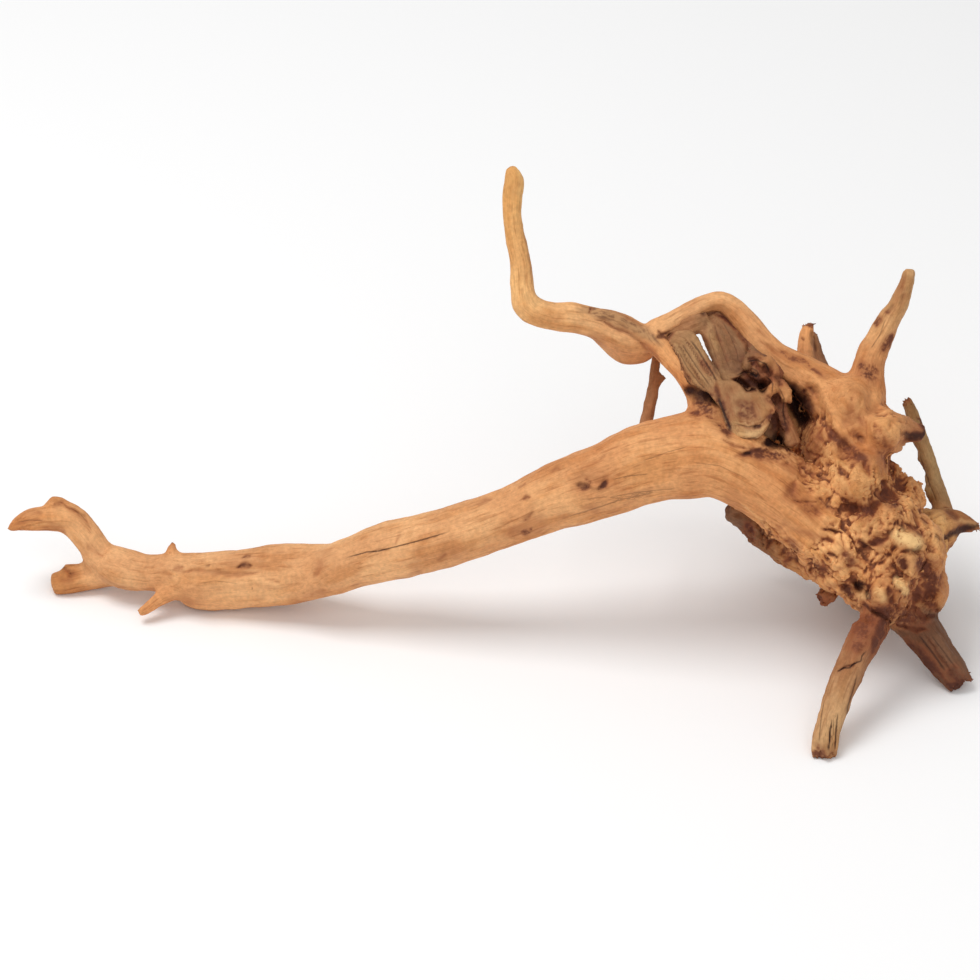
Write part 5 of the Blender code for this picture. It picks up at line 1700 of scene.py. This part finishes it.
# Colours as they show on a screen, each with what it is for
COLOURS = {
    "tan": ((0.825, 0.595, 0.40), "Smooth limbs"),
    "straw": ((0.87, 0.65, 0.40), "The long twig"),
    "orange": ((0.81, 0.55, 0.34), "Limbs near the burl"),
    "burl": ((0.76, 0.51, 0.31), "The burl"),
    "brown": ((0.64, 0.43, 0.28), "Small twigs and stubs"),
    "drab": ((0.72, 0.535, 0.36), "Worn ends of roots"),
    "olive": ((0.60, 0.45, 0.29), "The side root"),
    "grey": ((0.61, 0.435, 0.28), "The weathered heart"),
    "red_brown": ((0.52, 0.285, 0.165), "Upper legs"),
    "bark": ((0.43, 0.28, 0.19), "Rough dark wood"),
    "light": ((0.91, 0.70, 0.49), "Lighter patches"),
    "streak": ((0.74, 0.49, 0.29), "Broad streaks"),
    "line": ((0.63, 0.39, 0.22), "Thin darker lines"),
    # umber: fine lines, and painted shade in creases
    "umber": ((0.56, 0.32, 0.19), "Creases and fine lines"),
    "crest": ((0.85, 0.615, 0.385), "Rubbed edges"),
    # hollow: painted shade in hollows and closed-in places, and deep stains
    "hollow": ((0.36, 0.18, 0.12), "Stained hollows"),
    # red-brown stains, and painted shade on the undersides and in recesses
    "rust": ((0.56, 0.30, 0.17), "Light stains"),
    "pale": ((1.0, 0.83, 0.57), "Cut knobs"),
    # dark: cracks and holes, and painted shadow in deep recesses
    "dark": ((0.16, 0.07, 0.05), "Cracks and holes"),
}


class DriftwoodColours(bpy.types.PropertyGroup):
    """Colours of the wood, as they show on a screen."""

    __annotations__ = {
        key: bpy.props.FloatVectorProperty(
            name=key.replace("_", " ").title(), description=use, subtype="COLOR_GAMMA", default=shade
        )
        for key, (shade, use) in COLOURS.items()
    }


class DriftwoodSizes(bpy.types.PropertyGroup):
    """Sizes that a user would change."""

    grain_bump: bpy.props.FloatProperty(
        name="Grain Bump", description="Strength of the finest grain", default=0.55, min=0, max=1)
    crumb_density: bpy.props.FloatProperty(
        name="Crumb Density", description="Crumbs in a square metre of rough burl", default=40000)
    crumb_size: bpy.props.FloatProperty(
        name="Crumb Size", description="Radius of a crumb", default=0.8 * MM, unit="LENGTH")
    splinter_density: bpy.props.FloatProperty(
        name="Splinter Density", description="Splinters in a square metre of broken wood", default=250000)
    splinter_length: bpy.props.FloatProperty(
        name="Splinter Length", description="Length of a splinter", default=1.5 * MM, unit="LENGTH")


def light_colours():
    """The colours by name, as light."""
    chosen = bpy.context.scene.driftwood_colours
    names = DriftwoodColours.__annotations__
    return {name: np.array(linear(getattr(chosen, name))) for name in names}


def wood_named(name):
    """The finish of this name, made the first time that it is asked for."""
    if name in bpy.data.materials:
        return bpy.data.materials[name]
    colours = {key: (*value, 1.0) for key, value in light_colours().items()}
    return make_wood(name, colours, bpy.context.scene.driftwood_sizes.grain_bump)


class SkinOperator(bpy.types.Operator):
    """Grows the fine skins of the wood and of its heart, and finishes the wood's"""

    bl_idname = "driftwood.skin"
    bl_label = "Grow Skin"

    def execute(self, context):
        bm = bmesh.new()
        for stations in SKIN_LIMBS:
            add_limb(bm, stations)
        for middle, half_sizes in KNOBS:
            add_knob(bm, middle, half_sizes)
        mesh = fused_mesh(object_from(SKIN, bm), VOXEL)
        shape_lumps(Surface(mesh))
        label_pieces(mesh)
        bm = bmesh.new()
        for stations, depth_share in HEART_LIMBS:
            add_limb(bm, stations, depth_share)
        for outline, thickness in HEART_SLABS:
            add_slab(bm, outline, thickness)
        heart = fused_mesh(object_from(HEART_SKIN, bm), HEART_VOXEL)
        add_shelter((mesh, heart))
        mesh = subdivided(mesh)
        surface = Surface(mesh)
        lay_grain(surface, GRAIN, light_colours())
        ridge_limbs(surface)
        roughen(surface, roughness_of_burl(surface))
        carve_marks(surface, LIMB_MARKS + BURL_MARKS)
        weather(surface)
        trace_cracks(surface, CRACKS)
        level_underside(surface)
        store_all(surface)
        return {"FINISHED"}


class CrownOperator(bpy.types.Operator):
    """Makes the burl that all the limbs grow from"""

    bl_idname = "driftwood.crown"
    bl_label = "Root Crown"

    def execute(self, context):
        skin_piece("root_crown", wood_named("burl_wood"), "burl")
        return {"FINISHED"}


class LimbsOperator(bpy.types.Operator):
    """Makes the smooth limbs"""

    bl_idname = "driftwood.limbs"
    bl_label = "Smooth Limbs"

    def execute(self, context):
        for name in ("main_branch", "tip_claw", "tip_stub", "arch_branch", "inner_branch", "long_twig"):
            skin_piece(name, wood_named("pale_limb_wood"), "pale_wood")
        return {"FINISHED"}


class RootsOperator(bpy.types.Operator):
    """Makes the horn, the side root, the back twig and the legs"""

    bl_idname = "driftwood.roots"
    bl_label = "Roots and Twigs"

    def execute(self, context):
        slots = {
            "horn": "brown_wood", "back_twig": "brown_wood", "side_root": "olive_wood",
            "leg_front": "leg_wood", "leg_rear": "leg_wood",
        }
        for name, slot in slots.items():
            skin_piece(name, wood_named("root_" + slot), slot)
        return {"FINISHED"}


class HeartOperator(bpy.types.Operator):
    """Makes the weathered heart between the strands"""

    bl_idname = "driftwood.heart"
    bl_label = "Weathered Heart"

    def execute(self, context):
        mesh = bpy.data.meshes[HEART_SKIN]
        surface = Surface(mesh)
        lay_grain(surface, HEART_GRAIN, light_colours())
        ridge_heart(surface)
        roughen(surface, roughness_in(surface, HEART_ROUGH_ZONES))
        carve_marks(surface, HEART_MARKS, HEART_SEEN_DEPTH)
        trace_cracks(surface, HEART_CRACKS, HEART_SEEN_DEPTH)
        store_all(surface)
        piece = piece_from(mesh, "weathered_heart_wood", np.arange(len(mesh.polygons)))
        finish_piece(piece, wood_named("weathered_wood"), "grey_wood", "weathered_heart")
        bpy.data.meshes.remove(mesh)
        return {"FINISHED"}


class CrumbsOperator(bpy.types.Operator):
    """Sets small crumbs over the roughest parts of the burl"""

    bl_idname = "driftwood.crumbs"
    bl_label = "Crumbs"

    def execute(self, context):
        sizes = context.scene.driftwood_sizes
        crown = bpy.data.objects["root_crown_wood"]
        scatter_on(
            crown, crumb_tree(), "burl_crumbs", "burl", Mask="crumbly", Density=sizes.crumb_density,
            Thickness=sizes.crumb_size, Length=0.0, Spread=0.6, Seed=4,
        )
        return {"FINISHED"}


class SplintersOperator(bpy.types.Operator):
    """Sets splinters on the broken ends of the roots and stubs"""

    bl_idname = "driftwood.splinters"
    bl_label = "Splinters"

    def execute(self, context):
        sizes = context.scene.driftwood_sizes
        scatter = splinter_tree()
        sources = {"leg_rear": "leg_wood", "side_root": "olive_wood", "root_crown": "burl"}
        for seed, (name, slot) in enumerate(sources.items()):
            scatter_on(
                bpy.data.objects[name + "_wood"], scatter, name + "_splinters", slot, Mask="broken",
                Density=sizes.splinter_density, Thickness=0.5 * MM, Length=sizes.splinter_length, Spread=0.3,
                Seed=seed,
            )
        return {"FINISHED"}


class StageOperator(bpy.types.Operator):
    """Lays the pale floor and sets up the light and the camera"""

    bl_idname = "driftwood.stage"
    bl_label = "Stage"

    def execute(self, context):
        scene = context.scene
        scene.view_settings.view_transform = "Standard"
        bm = bmesh.new()
        bmesh.ops.create_grid(bm, x_segments=1, y_segments=1, size=FLOOR_HALF_SIZE)
        floor = object_from("floor", bm)
        paper = bpy.data.materials.new("pale_floor")
        paper.use_nodes = True
        shader = paper.node_tree.nodes["Principled BSDF"]
        shader.inputs["Base Color"].default_value = FLOOR_COLOUR
        shader.inputs["Roughness"].default_value = 0.9
        shader.inputs["Specular IOR Level"].default_value = 0.1
        floor.data.materials.append(paper)
        world = bpy.data.worlds.new("studio")
        world.use_nodes = True
        sky = world.node_tree.nodes["Background"]
        sky.inputs["Color"].default_value = WHITE
        sky.inputs["Strength"].default_value = SKY_STRENGTH
        scene.world = world
        for name, place, size, power in LAMPS:
            lamp = bpy.data.lights.new(name, "AREA")
            lamp.size = size
            lamp.energy = power
            thing = add_object(name, lamp)
            thing.location = place
            thing.rotation_euler = (-Vector(place)).to_track_quat("-Z", "Y").to_euler()
        camera = bpy.data.cameras.new("camera")
        camera.lens = LENS
        camera.sensor_width = SENSOR
        camera.clip_start, camera.clip_end = VIEW_RANGE
        thing = add_object("camera", camera)
        middle = np.array((-ORIGIN_ACROSS, -ORIGIN_BEHIND, GROUND_DROP))
        thing.location = (middle + VIEWER * VIEW_DISTANCE) * MM
        thing.rotation_euler = (math.pi / 2 - LEAN, 0, 0)
        scene.camera = thing
        return {"FINISHED"}


class DriftwoodPanel(bpy.types.Panel):
    """Lists the steps that build the driftwood"""

    bl_label = "Driftwood"
    bl_idname = "VIEW3D_PT_driftwood"
    bl_space_type = "VIEW_3D"
    bl_region_type = "UI"
    bl_category = "Driftwood"

    def draw(self, context):
        for operator in OPERATORS:
            self.layout.operator(operator.bl_idname)
        for group in (context.scene.driftwood_sizes, context.scene.driftwood_colours):
            for name in type(group).__annotations__:
                self.layout.prop(group, name)


OPERATORS = (
    SkinOperator, CrownOperator, LimbsOperator, RootsOperator, HeartOperator, CrumbsOperator,
    SplintersOperator, StageOperator,
)
CLASSES = (DriftwoodColours, DriftwoodSizes, *OPERATORS, DriftwoodPanel)


def register():
    for kind in CLASSES:
        bpy.utils.register_class(kind)
    bpy.types.Scene.driftwood_colours = bpy.props.PointerProperty(type=DriftwoodColours)
    bpy.types.Scene.driftwood_sizes = bpy.props.PointerProperty(type=DriftwoodSizes)


def unregister():
    del bpy.types.Scene.driftwood_sizes
    del bpy.types.Scene.driftwood_colours
    for kind in reversed(CLASSES):
        bpy.utils.unregister_class(kind)


def main():
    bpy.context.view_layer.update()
    register()
    for operator in OPERATORS:
        group, name = operator.bl_idname.split(".")
        getattr(getattr(bpy.ops, group), name)()
    bpy.data.meshes.remove(bpy.data.meshes[SKIN])


if __name__ == "__main__":
    main()
